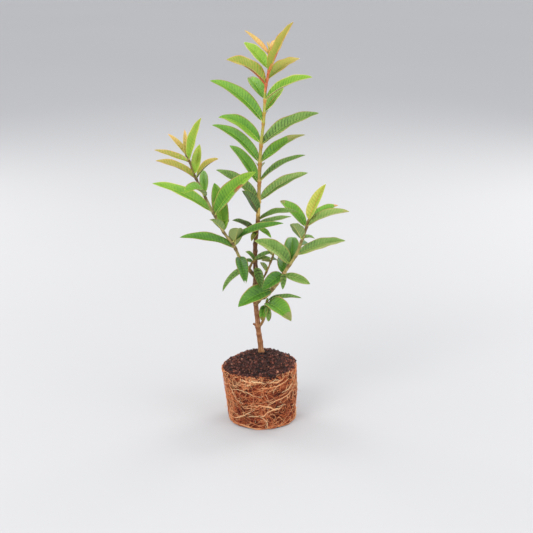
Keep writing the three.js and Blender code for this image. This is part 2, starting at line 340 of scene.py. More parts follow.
def fractal(points, size, octaves=3, seed=0.0):
    """Soft random height at each point, about -1 to 1, with lumps of the given size."""
    shift = Vector((seed * 17.3, seed * 5.1, seed * 9.7))
    flat = np.asarray(points, float).reshape(-1, 3)
    heights = [noise.fractal(Vector(p) / size + shift, 1.0, 2.0, octaves) for p in flat]
    return np.reshape(heights, np.shape(points)[:-1])


def rings_round(path, sides, upright):
    """Unit directions of a tube's cross-sections along a path, the first near the upright direction."""
    along = unit(np.gradient(path, axis=0))
    first = unit(upright - along * (upright * along).sum(-1, keepdims=True))
    second = np.cross(along, first)
    angle = even_angles(sides)[:, None]
    return first[:, None] * np.cos(angle) + second[:, None] * np.sin(angle)


def tube(shape, path, radii, sides, tone, upright):
    """A closed tube along a path, with a radius at each of its points."""
    ring = rings_round(path, sides, upright)
    shape.add_rings(path[:, None] + ring * np.asarray(radii, float)[:, None, None], tone)


def even_angles(count):
    return np.arange(count) * 2 * np.pi / count


def between(places, knots, line):
    """Points on a line at the given places, its own points lying at the knots."""
    return np.stack([np.interp(places, knots, part) for part in line.T], -1)


# ---------------------------------------------------------------- the shoots

SOIL_TOP = 88
GAP = 0.3  # between the soil and the trunk's level cut
LINE_STEPS = 24  # points on a smooth line for each stretch of its route


def smooth_line(route, steps=LINE_STEPS):
    """A centripetal Catmull-Rom line through the points of a route."""
    route = np.asarray(route, float)
    padded = np.vstack([2 * route[0] - route[1], route, 2 * route[-1] - route[-2]])
    spans = np.linalg.norm(np.diff(padded, axis=0), axis=1) ** 0.5
    share = np.linspace(0, 1, steps, endpoint=False)[:, None]
    line = []
    for i in range(1, len(padded) - 2):
        before, start, end, after = padded[i - 1:i + 3]
        first, middle, last = spans[i - 1:i + 2]
        leave = (start - before) / first - (end - before) / (first + middle) + (end - start) / middle
        reach = (end - start) / middle - (after - start) / (middle + last) + (after - end) / last
        leave = leave * middle
        reach = reach * middle
        bend = 3 * (end - start) - 2 * leave - reach
        twist = 2 * (start - end) + leave + reach
        line.append(start + leave * share + bend * share**2 + twist * share**3)
    line.append(route[-1:])
    return np.vstack(line)


class Shoot:
    """A stem on a smooth line through its route, with its leaves.

    Girth gives its radius at distances up it, and scars are the distance and heading of old nodes.
    """

    def __init__(self, route, girth, leaves, scars=()):
        self.line = smooth_line(route)
        steps = np.linalg.norm(np.diff(self.line, axis=0), axis=1)
        self.reach = np.concatenate([[0], np.cumsum(steps)])
        self.length = self.reach[-1]
        self.girth = np.array(girth, float)
        self.leaves = leaves
        self.scars = scars

    def at(self, distance):
        return between(distance, self.reach, self.line)

    def along(self, distance):
        return unit(self.at(np.minimum(distance + 1, self.length)) - self.at(np.maximum(distance - 1, 0)))

    def radius(self, distance):
        return np.interp(distance, self.girth[:, 0], self.girth[:, 1])


# What a leaf has unless its line says otherwise. Angles are in degrees.
LEAF_DEFAULTS = {
    "beside": 0,  # how far its foot stands from the shoot's middle line
    "arch": 30,  # how far it bends down from foot to tip
    "tilt": 36,  # its face turns to a light this far forward of the zenith
    "ribs": 0.34,  # depth of its side veins, and of the painted shade in their grooves
    "lower": 0.0,  # how much paler its lower half is, in steps of its ramp: a painted highlight on that half of the fold, and painted shade where it is below 0
    "tip_from": 0.86,  # share of its length where a tip of another colour starts
    "stalk": 1,  # thickness of its stalk and midrib, of the usual
    "torn": False,  # whether its tip is torn off
}
FAR_SIDE = {"width": 15, "arch": 20}


def leaf(at, heading, rise, length, look, **more):
    """A leaf: distance up the shoot, heading, slope and length, then its look and its width.

    More can be twist, the turn of its tip; midrib and tip, the names of their colours; and blotch, the
    place of a brown spot along the blade and out from the midrib, as shares of its length and half width.
    """
    place = {"at": at, "heading": heading, "rise": rise, "length": length}
    return {**LEAF_DEFAULTS, **place, "look": look, **more}


LEADER = Shoot(
    [
        [-1, 17, SOIL_TOP + GAP], [-3, 16, 106], [-5, 15, 122], [-6.5, 14, 139], [-8, 13, 153],
        [-9.5, 11, 185], [-8.5, 10, 199], [-9, 9, 220], [-9, 8, 240], [-7.5, 7, 258],
        [-5.5, 6, 277], [-4, 5, 312], [-3, 4, 341], [-1.5, 3, 374], [2.5, 2, 412],
        [4.5, 0, 448], [8, -1, 471], [10, -2, 488], [8.5, -3, 507],
    ],
    [
        [0, 5.4], [6, 4.4], [16, 3.9], [85, 3.7], [130, 3.3],
        [160, 3], [225, 2.6], [310, 2.2], [370, 1.8], [421, 0.8],
    ],
    [
        leaf(178, 305, -10, 34, "fresh", width=10),
        leaf(172, 250, -20, 20, "olive", width=9),
        leaf(169, 222, 33, 50, "dusk", width=14),
        leaf(184, 43, 0, 62, "soft_mid", width=11, arch=2),
        leaf(190, 325, 17, 68, "soft_dark", width=13),
        leaf(197, 238, 46, 56, "dusk", width=18, tilt=-40),
        leaf(208, 95, -14, 62, "shade", **FAR_SIDE),
        leaf(215, 32, 21, 84, "soft_light", width=18, lower=-1.2),
        leaf(217, 140, 22, 82, "soft_dark", width=18),
        leaf(242, 335, 32, 78, "soft_dark", width=13),
        leaf(237, 125, 31, 83, "mid", width=18, arch=38, ribs=0.2),
        leaf(262, 90, -14, 66, "shade", **FAR_SIDE),
        leaf(267, 35, 22, 80, "rising", width=19, twist=28, tip="straw", tip_from=0.62),
        leaf(266, 147, 30, 90, "mid", width=19, arch=48, ribs=0.2),
        leaf(290, 10, 28, 88, "soft_mid", width=22, arch=36, ribs=0.4),
        leaf(292, 138, 19, 84, "mid", width=20, arch=54, tilt=52, lower=1.8, ribs=0.2),
        leaf(320, 152, 32, 96, "fresh", width=22, arch=44, ribs=0.3),
        leaf(332, 92, -14, 60, "shade", **FAR_SIDE),
        leaf(334, 62, 24, 60, "bright", width=17, arch=20, midrib="orange"),
        leaf(350, 326, 26, 81, "bright", width=21, ribs=0.45),
        leaf(351, 114, 22, 58, "fresh", width=21, arch=20, tip="dull", ribs=0.15),
        leaf(370, 215, 31, 72, "ripening", width=26, arch=40, ribs=0.7, midrib="red", stalk=1.6),
        leaf(377, 40, 22, 60, "ripening_tip", width=18, stalk=1.4, ribs=0.15),
        leaf(384, 312, 56, 84, "tall_young", width=20, arch=12, midrib="red", stalk=1.5, ribs=0.2),
        leaf(390, 133, 33, 56, "lime_green", width=19, arch=20, ribs=0.2),
        leaf(409, 175, 44, 44, "gold", width=9, arch=10),
        leaf(414, 60, 23, 32, "gold", width=8),
    ],
    scars=[(16, 40), (27, 250), (38, 195), (56, 20), (74, 230), (92, 320), (112, 60), (124, 300),
           (133, 150), (147, 10), (157, 210)],
)

RIGHT_SHOOT = Shoot(
    [
        [-9, 12, 158], [-1.5, 8, 168], [5, 6, 172], [20.5, 0, 192], [27, -4, 203],
        [33, -8, 214], [45.5, -14, 236], [51.5, -17, 253], [56.5, -19, 268], [61.5, -20, 286],
    ],
    [[0, 3.4], [47, 2.7], [100, 2.2], [152, 1.7]],
    [
        leaf(34, 214, -15, 56, "shade", width=28, arch=26, tilt=50, ribs=0.2),
        leaf(64, 206, -30, 36, "dark", width=22, arch=16, tilt=46, ribs=0.2),
        leaf(63, 86, 24, 43, "shade", width=22),
        leaf(63, 22, -24, 43, "soft_light", width=14, arch=14, tilt=62),
        leaf(66, 262, -50, 24, "soft_dark", width=10),
        leaf(81, 207, 37, 66, "soft_mid", width=25, arch=36, tilt=46, lower=1.0, ribs=0.2),
        leaf(83, 85, 28, 52, "shade", width=25),
        leaf(97, 33, 6, 82, "soft_light", width=18, arch=26, tilt=50, lower=1.3),
        leaf(112, 72, -14, 56, "shade", **FAR_SIDE),
        leaf(121, 240, 44, 41, "olive", width=19, arch=20, tilt=-40),
        leaf(124, 46, -12, 24, "soft_mid", width=8),
        leaf(139, 124, 22, 66, "fresh", width=19, tip="straw", tip_from=0.82),
        leaf(141, 330, 24, 68, "olive_lime", width=18, tip="straw"),
        leaf(146, 45, 13, 61, "fresh", width=15, tip="pink"),
        leaf(149, 328, 64, 58, "yellow_lime", width=18, arch=12, midrib="orange", lower=-1.4),
    ],
    scars=[(9, 200), (19, 300), (27, 60), (38, 250), (46, 100)],
)

LEFT_SHOOT = Shoot(
    [
        [-9.5, 10, 198], [-21, 3, 215], [-30, -3, 229], [-36, -7, 244], [-50, -15, 266],
        [-62, -20, 291], [-74, -24, 317], [-83, -26, 337], [-89, -27, 350], [-92, -28, 362],
        [-98, -28, 374],
    ],
    [[0, 2.9], [36, 2.4], [85, 2], [140, 1.8], [180, 1.5], [203, 1]],
    [
        leaf(40, 281, -25, 56, "dark", width=19, torn=True),
        leaf(64, 340, 24, 80, "shade", width=15),
        leaf(56, 282, 50, 42, "soft_tip", width=23, tilt=-40),
        leaf(53, 205, 17, 83, "shade", width=18),
        leaf(84, 229, 39, 34, "soft_mid", width=15, tilt=-40),
        leaf(82, 105, 45, 78, "lit", width=25, arch=10),
        leaf(98, 80, -14, 60, "lit", **FAR_SIDE),
        leaf(110, 331, 46, 90, "rising", width=26, arch=28, tilt=48, ribs=0.35, blotch=(0.57, 0.6)),
        leaf(114, 153, 18, 98, "bright", width=19, ribs=0.25),
        leaf(115, 62, 14, 54, "shade", width=16),
        leaf(141, 94, 25, 54, "sinking", width=14, ribs=0.15),
        leaf(138, 232, 17, 48, "fresh", width=20, arch=80, ribs=0.2),
        leaf(166, 316, 37, 53, "dull_straw", width=15),
        leaf(171, 72, 60, 42, "lime", width=15, arch=8, ribs=0.1),
        leaf(166, 210, 27, 64, "young_straw", width=16, arch=24, lower=-1.2, ribs=0.5),
        leaf(189, 150, 11, 56, "dull_straw", width=11, arch=8, lower=-1.2, ribs=0.5),
        leaf(192, 306, 63, 66, "lime", width=18, arch=12, ribs=0.2),
        leaf(199, 172, 49, 36, "peach", width=9, arch=20),
        leaf(200, 107, 80, 32, "peach", width=8, arch=10),
    ],
    scars=[(11, 300), (23, 170), (34, 40)],
)

LOW_TWIG = Shoot(
    [[-6, 14, 124], [-1, 11, 131], [3, 6, 142], [5, 0, 158], [7, -3, 170]],
    [[0, 2.2], [52, 1.6]],
    [
        leaf(50, 340, 10, 50, "soft_dark", width=9),
        leaf(46, 302, -8, 62, "mid", width=30, tip="dull", tip_from=0.72),
        leaf(43, 235, -62, 22, "mid", width=14, tip="dark", tip_from=0.7),
        leaf(40, 300, -65, 20, "dusk", width=11),
        leaf(47, 285, -70, 26, "soft_mid", width=10),
    ],
)

THIN_TWIG = Shoot(
    [[-10, 11, 184], [1, 7, 196], [6, 5, 206], [10, 3, 216], [16, 1, 233]],
    [[0, 1.6], [60, 1.1]],
    [
        leaf(28, 225, 53, 20, "soft_mid", width=9, tilt=-40),
        leaf(44, 195, 12, 13, "soft_young", width=9),
        leaf(46, 65, -14, 20, "shade", width=10),
        leaf(53, 110, 17, 18, "soft_young", width=10),
    ],
)

MIDDLE_TWIG = Shoot(
    [[-16, 6, 207], [-16.5, 0, 212], [-14, -2, 219], [-8, -2, 227]],
    [[0, 1.6], [24, 1.2]],
    [
        leaf(10, 198, -38, 50, "soft_dark", width=11, arch=56),
        leaf(14, 300, -58, 30, "soft_dark", width=15, arch=20, beside=(6, 8, -5)),
        leaf(19, 200, 10, 13, "soft_dark", width=8),
        leaf(21, 225, 45, 22, "soft_tip", width=11),
        leaf(21, 345, 26, 34, "soft_dark", width=9),
        leaf(22, 350, 8, 24, "soft_light", width=8),
    ],
)

TWIGS = [LOW_TWIG, THIN_TWIG, MIDDLE_TWIG]
TRUNK_FOOT = LEADER.at(0.0)

# ---------------------------------------------------------------- leaf colours

# Ramps of blade colours, and the colours of midribs, rims and single tips.
RAMPS = {
    "green": [
        (0.17, 0.26, 0.12), (0.21, 0.35, 0.14), (0.26, 0.43, 0.15), (0.32, 0.50, 0.16), (0.38, 0.57, 0.18),
        (0.45, 0.63, 0.20), (0.52, 0.67, 0.22), (0.58, 0.70, 0.25), (0.66, 0.70, 0.29), (0.73, 0.75, 0.33),
        (0.80, 0.77, 0.38), (0.86, 0.80, 0.46),
    ],
    "soft": [
        (0.22, 0.26, 0.14), (0.30, 0.40, 0.19), (0.38, 0.51, 0.23), (0.46, 0.59, 0.28), (0.55, 0.63, 0.33),
        (0.65, 0.66, 0.41), (0.72, 0.70, 0.49),
    ],
    "bronze": [
        (0.53, 0.71, 0.24), (0.51, 0.55, 0.21), (0.58, 0.57, 0.25), (0.65, 0.61, 0.28), (0.71, 0.63, 0.33),
        (0.76, 0.65, 0.38), (0.82, 0.70, 0.42), (0.87, 0.63, 0.40), (0.80, 0.46, 0.28), (0.66, 0.30, 0.18),
    ],
    "ripening": [
        (0.46, 0.63, 0.23), (0.54, 0.64, 0.25), (0.61, 0.62, 0.27), (0.66, 0.64, 0.29), (0.70, 0.65, 0.32),
        (0.73, 0.66, 0.36),
    ],
    "under": [
        (0.26, 0.37, 0.20), (0.37, 0.48, 0.26), (0.47, 0.56, 0.32), (0.56, 0.63, 0.38), (0.64, 0.67, 0.44),
        (0.71, 0.69, 0.48),
    ],
}
LINE_COLOURS = {
    "green": (0.62, 0.55, 0.29), "pale": (0.78, 0.74, 0.42), "orange": (0.78, 0.58, 0.29),
    "red": (0.84, 0.44, 0.30), "brown": (0.40, 0.28, 0.15), "dull": (0.50, 0.52, 0.30),
    "pink": (0.77, 0.59, 0.41), "dark": (0.51, 0.45, 0.23), "straw": (0.60, 0.61, 0.33),
}
RAMPS["line"] = list(LINE_COLOURS.values())

# A look's ramp, its places on it at the foot and at the tip, its place on the under ramp, and the names
# of its rim's and its midrib's colours.
Look = namedtuple("Look", "ramp foot tip under rim midrib")
LOOKS = {
    "dusk": Look("soft", 0.2, 1.2, 1.0, "dark", "brown"),
    "dark": Look("green", 1.9, 2.7, 1.6, "dark", "green"),
    "shade": Look("green", 2.5, 3.4, 2.0, "green", "pale"),
    "mid": Look("green", 3.2, 4.5, 2.2, "green", "pale"),
    "fresh": Look("green", 3.8, 5.2, 2.6, "green", "pale"),
    "bright": Look("green", 4.8, 6.2, 3.2, "pale", "pale"),
    "rising": Look("green", 3.7, 6.2, 3.0, "green", "pale"),
    "lime_green": Look("green", 5.6, 7.0, 3.4, "pale", "pale"),
    "lime": Look("green", 6.4, 7.8, 4.0, "pale", "pale"),
    # The lit look is painted light: a bright green for far-side leaves that face away from the lamps.
    "lit": Look("green", 5.2, 4.6, 2.4, "green", "pale"),
    "sinking": Look("green", 4.2, 4.2, 2.2, "green", "pale"),
    "yellow_lime": Look("green", 9.3, 8.8, 4.4, "pale", "orange"),
    "soft_dark": Look("soft", 1.7, 2.3, 1.6, "dark", "pale"),
    "soft_mid": Look("soft", 2.0, 3.0, 2.4, "green", "pale"),
    "soft_light": Look("soft", 2.9, 3.5, 3.4, "green", "pale"),
    "soft_tip": Look("soft", 1.2, 3.8, 3.4, "green", "pale"),
    "soft_young": Look("soft", 4.2, 5.8, 4.6, "orange", "orange"),
    "tall_young": Look("ripening", 0.9, 4.0, 4.6, "orange", "red"),
    "olive": Look("bronze", 1.0, 2.3, 2.6, "green", "pale"),
    "olive_lime": Look("soft", 3.6, 4.4, 2.8, "green", "pale"),
    "dull_straw": Look("bronze", 1.4, 3.6, 3.6, "orange", "brown"),
    "ripening": Look("ripening", 1.7, 2.6, 4.0, "orange", "red"),
    "ripening_tip": Look("ripening", 0.5, 5.0, 3.6, "orange", "green"),
    "young_straw": Look("bronze", 2.2, 4.0, 4.4, "orange", "brown"),
    "peach": Look("bronze", 2.6, 6.6, 4.8, "pale", "orange"),
    "gold": Look("bronze", 6.8, 5.0, 4.8, "orange", "orange"),
}

# Grains of the plain finishes: gloss, waves a metre, detail, spread of roughness and its least, relief.
LEAF_GRAIN = (0.28, 2600, 2.0, 0.22, 0.42, 0.00005)
ROOT_GRAIN = (0.3, 1800, 3.0, 0.25, 0.6, 0.0002)

LEAF_FINISHES = []
RAMP_START = {}
for ramp_name, ramp_colours in RAMPS.items():
    RAMP_START[ramp_name] = len(LEAF_FINISHES)
    LEAF_FINISHES += plain_finishes(f"leaf_{ramp_name}", ramp_colours, LEAF_GRAIN)


def tone_on(ramp, place):
    """The numbers of the finishes nearest to places on a ramp."""
    steps = np.clip(np.rint(place), 0, len(RAMPS[ramp]) - 1)
    return RAMP_START[ramp] + steps.astype(int)


def line_tone(name):
    return RAMP_START["line"] + list(LINE_COLOURS).index(name)


def rib_tone(name, share):
    """The finish of a midrib at shares of its length. A red one turns orange on the way up."""
    after = "orange" if name == "red" else name
    return np.where(share < RED_SHARE, line_tone(name), line_tone(after))


# ---------------------------------------------------------------- leaves

STALK_SHARE = 0.045  # the bare stalk, of the leaf's length
FOOT_ROUNDNESS = 0.55  # exponents of the outline: the smaller, the rounder that end
TIP_ROUNDNESS = 0.8
LEAF_FOLD = math.radians(34)  # how far each half of a leaf rises from its midrib
LEAF_THICKNESS = 0.42
SLIMNESS = 120  # a small leaf is this many times as long as it is thick
VEIN_SPACING = 4.4
LEAST_VEINS = 4  # pairs of side veins on the shortest leaf
VEIN_HALF = 0.13  # half of a side vein's width, of the spacing
VEIN_SWEEP = 1.4  # how far the side veins sweep forward, times the leaf's width over its length
VEIN_GROOVE_SHADE = 4.6  # painted shade in the side veins' grooves: steps down the ramp for a leaf with ribs of 1
FULL_RIBS = 18  # width from which a leaf's ribs have their full depth
ROWS_BETWEEN = [-VEIN_HALF, VEIN_HALF, 0.3, 0.5, 0.7]  # rows of points from vein to vein, of the spacing
GROOVE = 0.045  # half of the groove over the midrib, of the blade's half width
RIM = 0.905  # where the rim starts, of the blade's half width
# Columns of points on half a blade, of its half width.
COLUMNS = np.array([GROOVE, 0.16, 0.32, 0.5, 0.68, 0.81, RIM, 1.0])
ACROSS = np.concatenate([-COLUMNS[::-1], [0], COLUMNS])
TWISTS = (-7, 7)  # degrees that a tip turns by, at random
RIPPLE_HEIGHTS = (0.03, 0.10)  # the margin's ripple, of the blade's half width
RIPPLE_COUNTS = (1.6, 3.2)  # ripples on a margin
MARGIN_WAVER = 0.048  # how far the two halves shift along the leaf, in opposite directions
TEAR = 0.88  # where a torn tip ends, of the blade's length
BLOTCH_SIZE = (0.11, 0.45)  # of the blade's length and half width
BLOTCH_HEART = 0.45  # the square of the share of its size that the blotch's red middle takes up
SPINE_STEPS = 160
MIDRIB_STEPS = 34
MIDRIB_SIDES = 7
RED_SHARE = 0.42  # how far a red stalk's colour runs up its midrib
FLUSH_SHARE = 0.2  # and how far over its blade


def outline(share):
    """Half the blade's width as a share of its greatest, at a share of the blade's length."""
    peak = FOOT_ROUNDNESS / (FOOT_ROUNDNESS + TIP_ROUNDNESS)
    share = np.clip(share, 0, 1)
    shape = share**FOOT_ROUNDNESS * (1 - share) ** TIP_ROUNDNESS
    return shape / (peak**FOOT_ROUNDNESS * (1 - peak) ** TIP_ROUNDNESS)


class Spine:
    """The line that a leaf's midrib follows, with the directions across and out of the blade."""

    def __init__(self, root, plan, twist):
        self.plan = plan
        self.twist = math.radians(twist)
        chord = direction(plan["heading"], plan["rise"])
        light = direction(270, 90 - plan["tilt"])
        self.upper = light - chord * (light @ chord)
        self.shares = np.linspace(0, 1, SPINE_STEPS + 1)
        middles = (self.shares[1:] + self.shares[:-1]) / 2
        steps = self.along(middles) * plan["length"] / SPINE_STEPS
        self.line = root + np.vstack([np.zeros(3), np.cumsum(steps, axis=0)])

    def along(self, share):
        """The direction that the midrib takes at shares of its length."""
        return direction(self.plan["heading"], self.plan["rise"] + self.plan["arch"] * (0.5 - share))

    def frame(self, share):
        """The centre, the direction across the blade and the one out of its upper face."""
        along = self.along(share)
        side = unit(np.cross(along, self.upper))
        face = np.cross(side, along)
        turn = (self.twist * share**2)[..., None]
        across = side * np.cos(turn) + face * np.sin(turn)
        return between(share, self.shares, self.line), across, face * np.cos(turn) - side * np.sin(turn)


def border(rows, columns):
    """The numbers of a grid's outer points, in order round it."""
    first = np.arange(columns)
    right = np.arange(1, rows) * columns + columns - 1
    last = (rows - 1) * columns + np.arange(columns - 2, -1, -1)
    left = np.arange(rows - 2, 0, -1) * columns
    return np.concatenate([first, right, last, left])


def blade_sheet(plan, row, across, pairs):
    """A blade's sheet: the share of the leaf's length, the half width and the height of its points."""
    width = plan["width"]
    reach = np.abs(across)
    ahead = row * (1 - row)
    swept = row + VEIN_SWEEP * width / plan["length"] * ahead * reach
    swept = swept + MARGIN_WAVER * np.sin(row * 9 + rng.uniform(0, 6)) * across * ahead
    if plan["torn"]:
        swept = np.minimum(swept, TEAR + 0.1 * np.abs(across - 0.1))
    height = rng.uniform(*RIPPLE_HEIGHTS)
    ripple = height * np.sin(row * 2 * np.pi * rng.uniform(*RIPPLE_COUNTS) + across * 2 + rng.uniform(0, 6))
    bulge = np.abs(np.sin(np.pi * (row * pairs % 1))) ** 0.8
    least = 0.12 + 0.5 * (1 - swept)  # at its ends the blade is never narrower than this
    half = np.maximum(width / 2 * outline(swept), least) * (1 + 0.02 * (bulge - 0.5))
    lift = half * math.sin(LEAF_FOLD) * (1.25 * reach - 0.25 * reach**2.6) + half * ripple * reach**3
    quilt = np.sin(np.pi * reach**0.8) ** 0.6 * np.minimum(1, 6 * (1 - row)) * (bulge - 0.4)
    lift = lift + plan["ribs"] * min(1, width / FULL_RIBS) * quilt
    return STALK_SHARE + np.clip(swept, 0, 1) * (1 - STALK_SHARE), half, lift


def grow_leaf(shape, root, plan):
    """One leaf: a closed blade that quilts up between its side veins, over a round midrib and stalk."""
    length = plan["length"]
    spine = Spine(root, plan, plan.get("twist", rng.uniform(*TWISTS)))
    pairs = max(LEAST_VEINS, round(length * (1 - STALK_SHARE) / VEIN_SPACING))
    row = (np.arange(pairs)[:, None] + ROWS_BETWEEN).ravel() / pairs
    row = np.concatenate([[0], row[row > 0], [1]])[:, None]
    across = ACROSS[None, :]
    share, half, lift = blade_sheet(plan, row, across, pairs)
    centre, side, face = spine.frame(share)
    sheet = centre + side * (across * half * math.cos(LEAF_FOLD))[..., None] + face * lift[..., None]
    thickness = min(LEAF_THICKNESS, length / SLIMNESS) * (1 - 0.3 * across**4)
    skin = face * (thickness / 2)[..., None]
    count = share.size
    quads = grid_faces(*share.shape)
    edge = border(*share.shape)
    following = np.roll(edge, -1)
    wall = np.stack([edge + count, following + count, following, edge], -1)
    upper, lower = blade_tones(plan, spine, row[:, 0], pairs)
    shape.add(
        np.concatenate([(sheet + skin).reshape(-1, 3), (sheet - skin).reshape(-1, 3)]),
        (quads, upper.ravel()),
        (quads[:, ::-1] + count, lower.ravel()),
        (wall, line_tone(LOOKS[plan["look"]].rim)),
    )
    grow_midrib(shape, plan, spine)


def blade_tones(plan, spine, row, pairs):
    """Finishes of the faces on a blade's upper and under side."""
    look = LOOKS[plan["look"]]
    place = ((row[1:] + row[:-1]) / 2)[:, None]
    across = ((ACROSS[1:] + ACROSS[:-1]) / 2)[None, :]
    reach = np.abs(across)
    start, slant = rng.uniform(0, 6, 2)
    mottle = 0.35 * np.sin(place * 11 + across * 2.5 + start) * np.sin(place * 5 - across * 4 + slant)
    mottle = mottle + rng.normal(0, 0.28, mottle.shape)
    value = look.foot + (look.tip - look.foot) * place**0.9 + 0.7 * reach**3 + mottle
    value = value + rng.uniform(-0.3, 0.3)
    vein = np.abs((place * pairs + 0.5) % 1 - 0.5) < VEIN_HALF
    # The vein rows lie in the blade's grooves: darkening them on the upper face is painted shade.
    value = value - plan["ribs"] * VEIN_GROOVE_SHADE * vein * (1 - 0.5 * place)
    side = spine.frame(np.array([0.5]))[1][0]
    is_lower = (across * side[2] < 0) & (reach > GROOVE)
    # Painted light on the lower half of the fold: a painted highlight where the leaf's lower setting is
    # above 0, painted shade where it is below 0.
    value = value + plan["lower"] * is_lower
    upper = tone_on(look.ramp, value)
    if "blotch" in plan:
        at, out = plan["blotch"]
        far = ((place - at) / BLOTCH_SIZE[0]) ** 2 + ((reach - out) / BLOTCH_SIZE[1]) ** 2
        spot = np.where(far + 0.6 * mottle < BLOTCH_HEART, tone_on("bronze", 9.0), line_tone("dark"))
        upper = np.where((far < 1) & is_lower, spot, upper)
    if "tip" in plan:
        at_tip = place + 0.03 * reach + 0.02 * mottle > plan["tip_from"]
        upper = np.where(at_tip, line_tone(plan["tip"]), upper)
    upper = np.where(reach > RIM, line_tone(look.rim), upper)
    groove = rib_tone(plan["midrib"], place) if "midrib" in plan else tone_on(look.ramp, value + 1.4)
    upper = np.where(reach < GROOVE, groove, upper)
    lower = tone_on("under", look.under + 1.1 * vein + 0.6 * mottle - 0.4)
    if look.midrib == "red":
        flushed = place + 0.5 * reach < FLUSH_SHARE
        upper = np.where(flushed, line_tone("red"), upper)
        lower = np.where(flushed, line_tone("red"), lower)
    return upper, lower


def grow_midrib(shape, plan, spine):
    """The leaf's stalk, which runs on as a tapering midrib under the blade."""
    share = np.linspace(0, 0.97, MIDRIB_STEPS)
    thick = min(1.15, 0.35 + plan["length"] / 95) * plan["stalk"]
    radius = thick * np.interp(share, [0, 0.02, STALK_SHARE, 0.2, 0.5, 1], [1.1, 1, 0.86, 0.62, 0.4, 0.14])
    centre, _, face = spine.frame(share)
    sunk = np.clip((share - 0.03) / 0.08, 0, 1) * (radius * 0.35 + LEAF_THICKNESS * 0.3)
    tones = rib_tone(plan.get("midrib", LOOKS[plan["look"]].midrib), share[:-1])
    tube(shape, centre - face * sunk[:, None], radius, MIDRIB_SIDES, np.repeat(tones, MIDRIB_SIDES), face)


def grow_leaves(name, shoots, replaced):
    """All the leaves of some shoots, as one piece."""
    shape = Shape()
    for shoot in shoots:
        for plan in shoot.leaves:
            grow_leaf(shape, shoot.at(plan["at"]) + plan["beside"], plan)
    shape.piece(name, LEAF_FINISHES, replaced)


grow_leaves("leader_leaves", [LEADER],
            [f"leader_{part}_leaves" for part in ("low", "middle", "upper", "tip")])
grow_leaves("right_shoot_leaves", [RIGHT_SHOOT],
            [f"right_{part}_leaves" for part in ("low", "middle", "tip")])
grow_leaves("left_shoot_leaves", [LEFT_SHOOT],
            [f"left_{part}_leaves" for part in ("low", "middle", "upper", "tip")])
grow_leaves("small_twig_leaves", TWIGS,
            [f"{part}_twig_leaves" for part in ("low", "thin", "middle")])

# ---------------------------------------------------------------- stems

RING_STEP = 0.8  # from ring to ring of a stem's points
STEM_SIDES = 28
STEM_CORE = 0.88  # the stem under its bark and cushions, of the shoot's girth
NODE_HALF = 2.2  # half height of the swelling at a node
ABOVE_NODE = 1.2  # how far a node's colour reaches above it
BARK_FADE = 60  # the stretch over which bark turns to green stem
STUB = {"at": 38, "heading": 195, "rise": 35, "length": 8, "radius": 1.6}
STUB_STEPS = 9
STUB_SIDES = 12
UP = np.array([0, 0, 1.0])


def node_places(shoot):
    """Distance and heading of every leaf and every scar on a shoot."""
    return [(plan["at"], plan["heading"]) for plan in shoot.leaves] + list(shoot.scars)


def grow_stem(shape, shoot, green_from=160.0, node_reach=5.0):
    """A stem with swollen nodes, leaf cushions and, low down, the relief of flaking bark.

    Gives, for each of its points, the share of the way up the stem and the strength of a node's colour,
    which reaches a little above the node and by node_reach below it.
    """
    distance = np.arange(0.0, shoot.length, RING_STEP)
    path = shoot.at(distance)
    ring = rings_round(path, STEM_SIDES, np.array([1.0, 0, 0]))
    heading = np.degrees(np.arctan2(ring[..., 1], ring[..., 0]))
    radius = shoot.radius(distance)[:, None] * STEM_CORE
    swell = np.zeros(ring.shape[:2])
    band = np.zeros(ring.shape[:2])
    for at, way in node_places(shoot):
        beyond = distance - at
        closeness = np.exp(-(((beyond + 0.4) / NODE_HALF) ** 2))[:, None]
        facing = np.cos(np.radians(heading - way))
        swell = np.maximum(swell, closeness * (0.3 + 0.5 * np.clip(facing, 0, 1) ** 2))
        stretch = np.where(beyond > 0, ABOVE_NODE, node_reach)
        band = np.maximum(band, np.exp(-((beyond / stretch) ** 2))[:, None] * (0.8 + 0.2 * facing))
    woody = np.clip((green_from - distance) / BARK_FADE, 0, 1)[:, None]
    points = path[:, None] + ring * radius[..., None]
    streaks = fractal(points * [1, 1, 0.22], 1.6, 3, 1.0)
    plates = np.clip(fractal(points * [1, 1, 0.5], 7.0, 3, 2.0) * 5, -1, 1)
    relief = (0.05 + 0.13 * woody) * streaks + 0.10 * woody * plates
    square = 0.05 * (1 - woody) * np.cos(4 * np.radians(heading))
    shape.add_rings(path[:, None] + ring * (radius * (1 + square) + swell + relief)[..., None])
    reach = np.broadcast_to((distance / shoot.length)[:, None], band.shape)
    return reach.ravel(), band.ravel()


def grow_stub(shape):
    """The stub of a twig cut off low on the trunk, with the same two values for each of its points."""
    share = np.linspace(0, 1, STUB_STEPS)
    path = LEADER.at(STUB["at"]) + direction(STUB["heading"], STUB["rise"]) * STUB["length"] * share[:, None]
    girth = STUB["radius"] * (1.25 - 0.35 * share + 0.1 * np.sin(share * 14))
    tube(shape, path, girth, STUB_SIDES, 0, UP)
    reach = np.full(STUB_STEPS * STUB_SIDES, STUB["at"] / LEADER.length)
    return reach, np.repeat(share**3, STUB_SIDES)


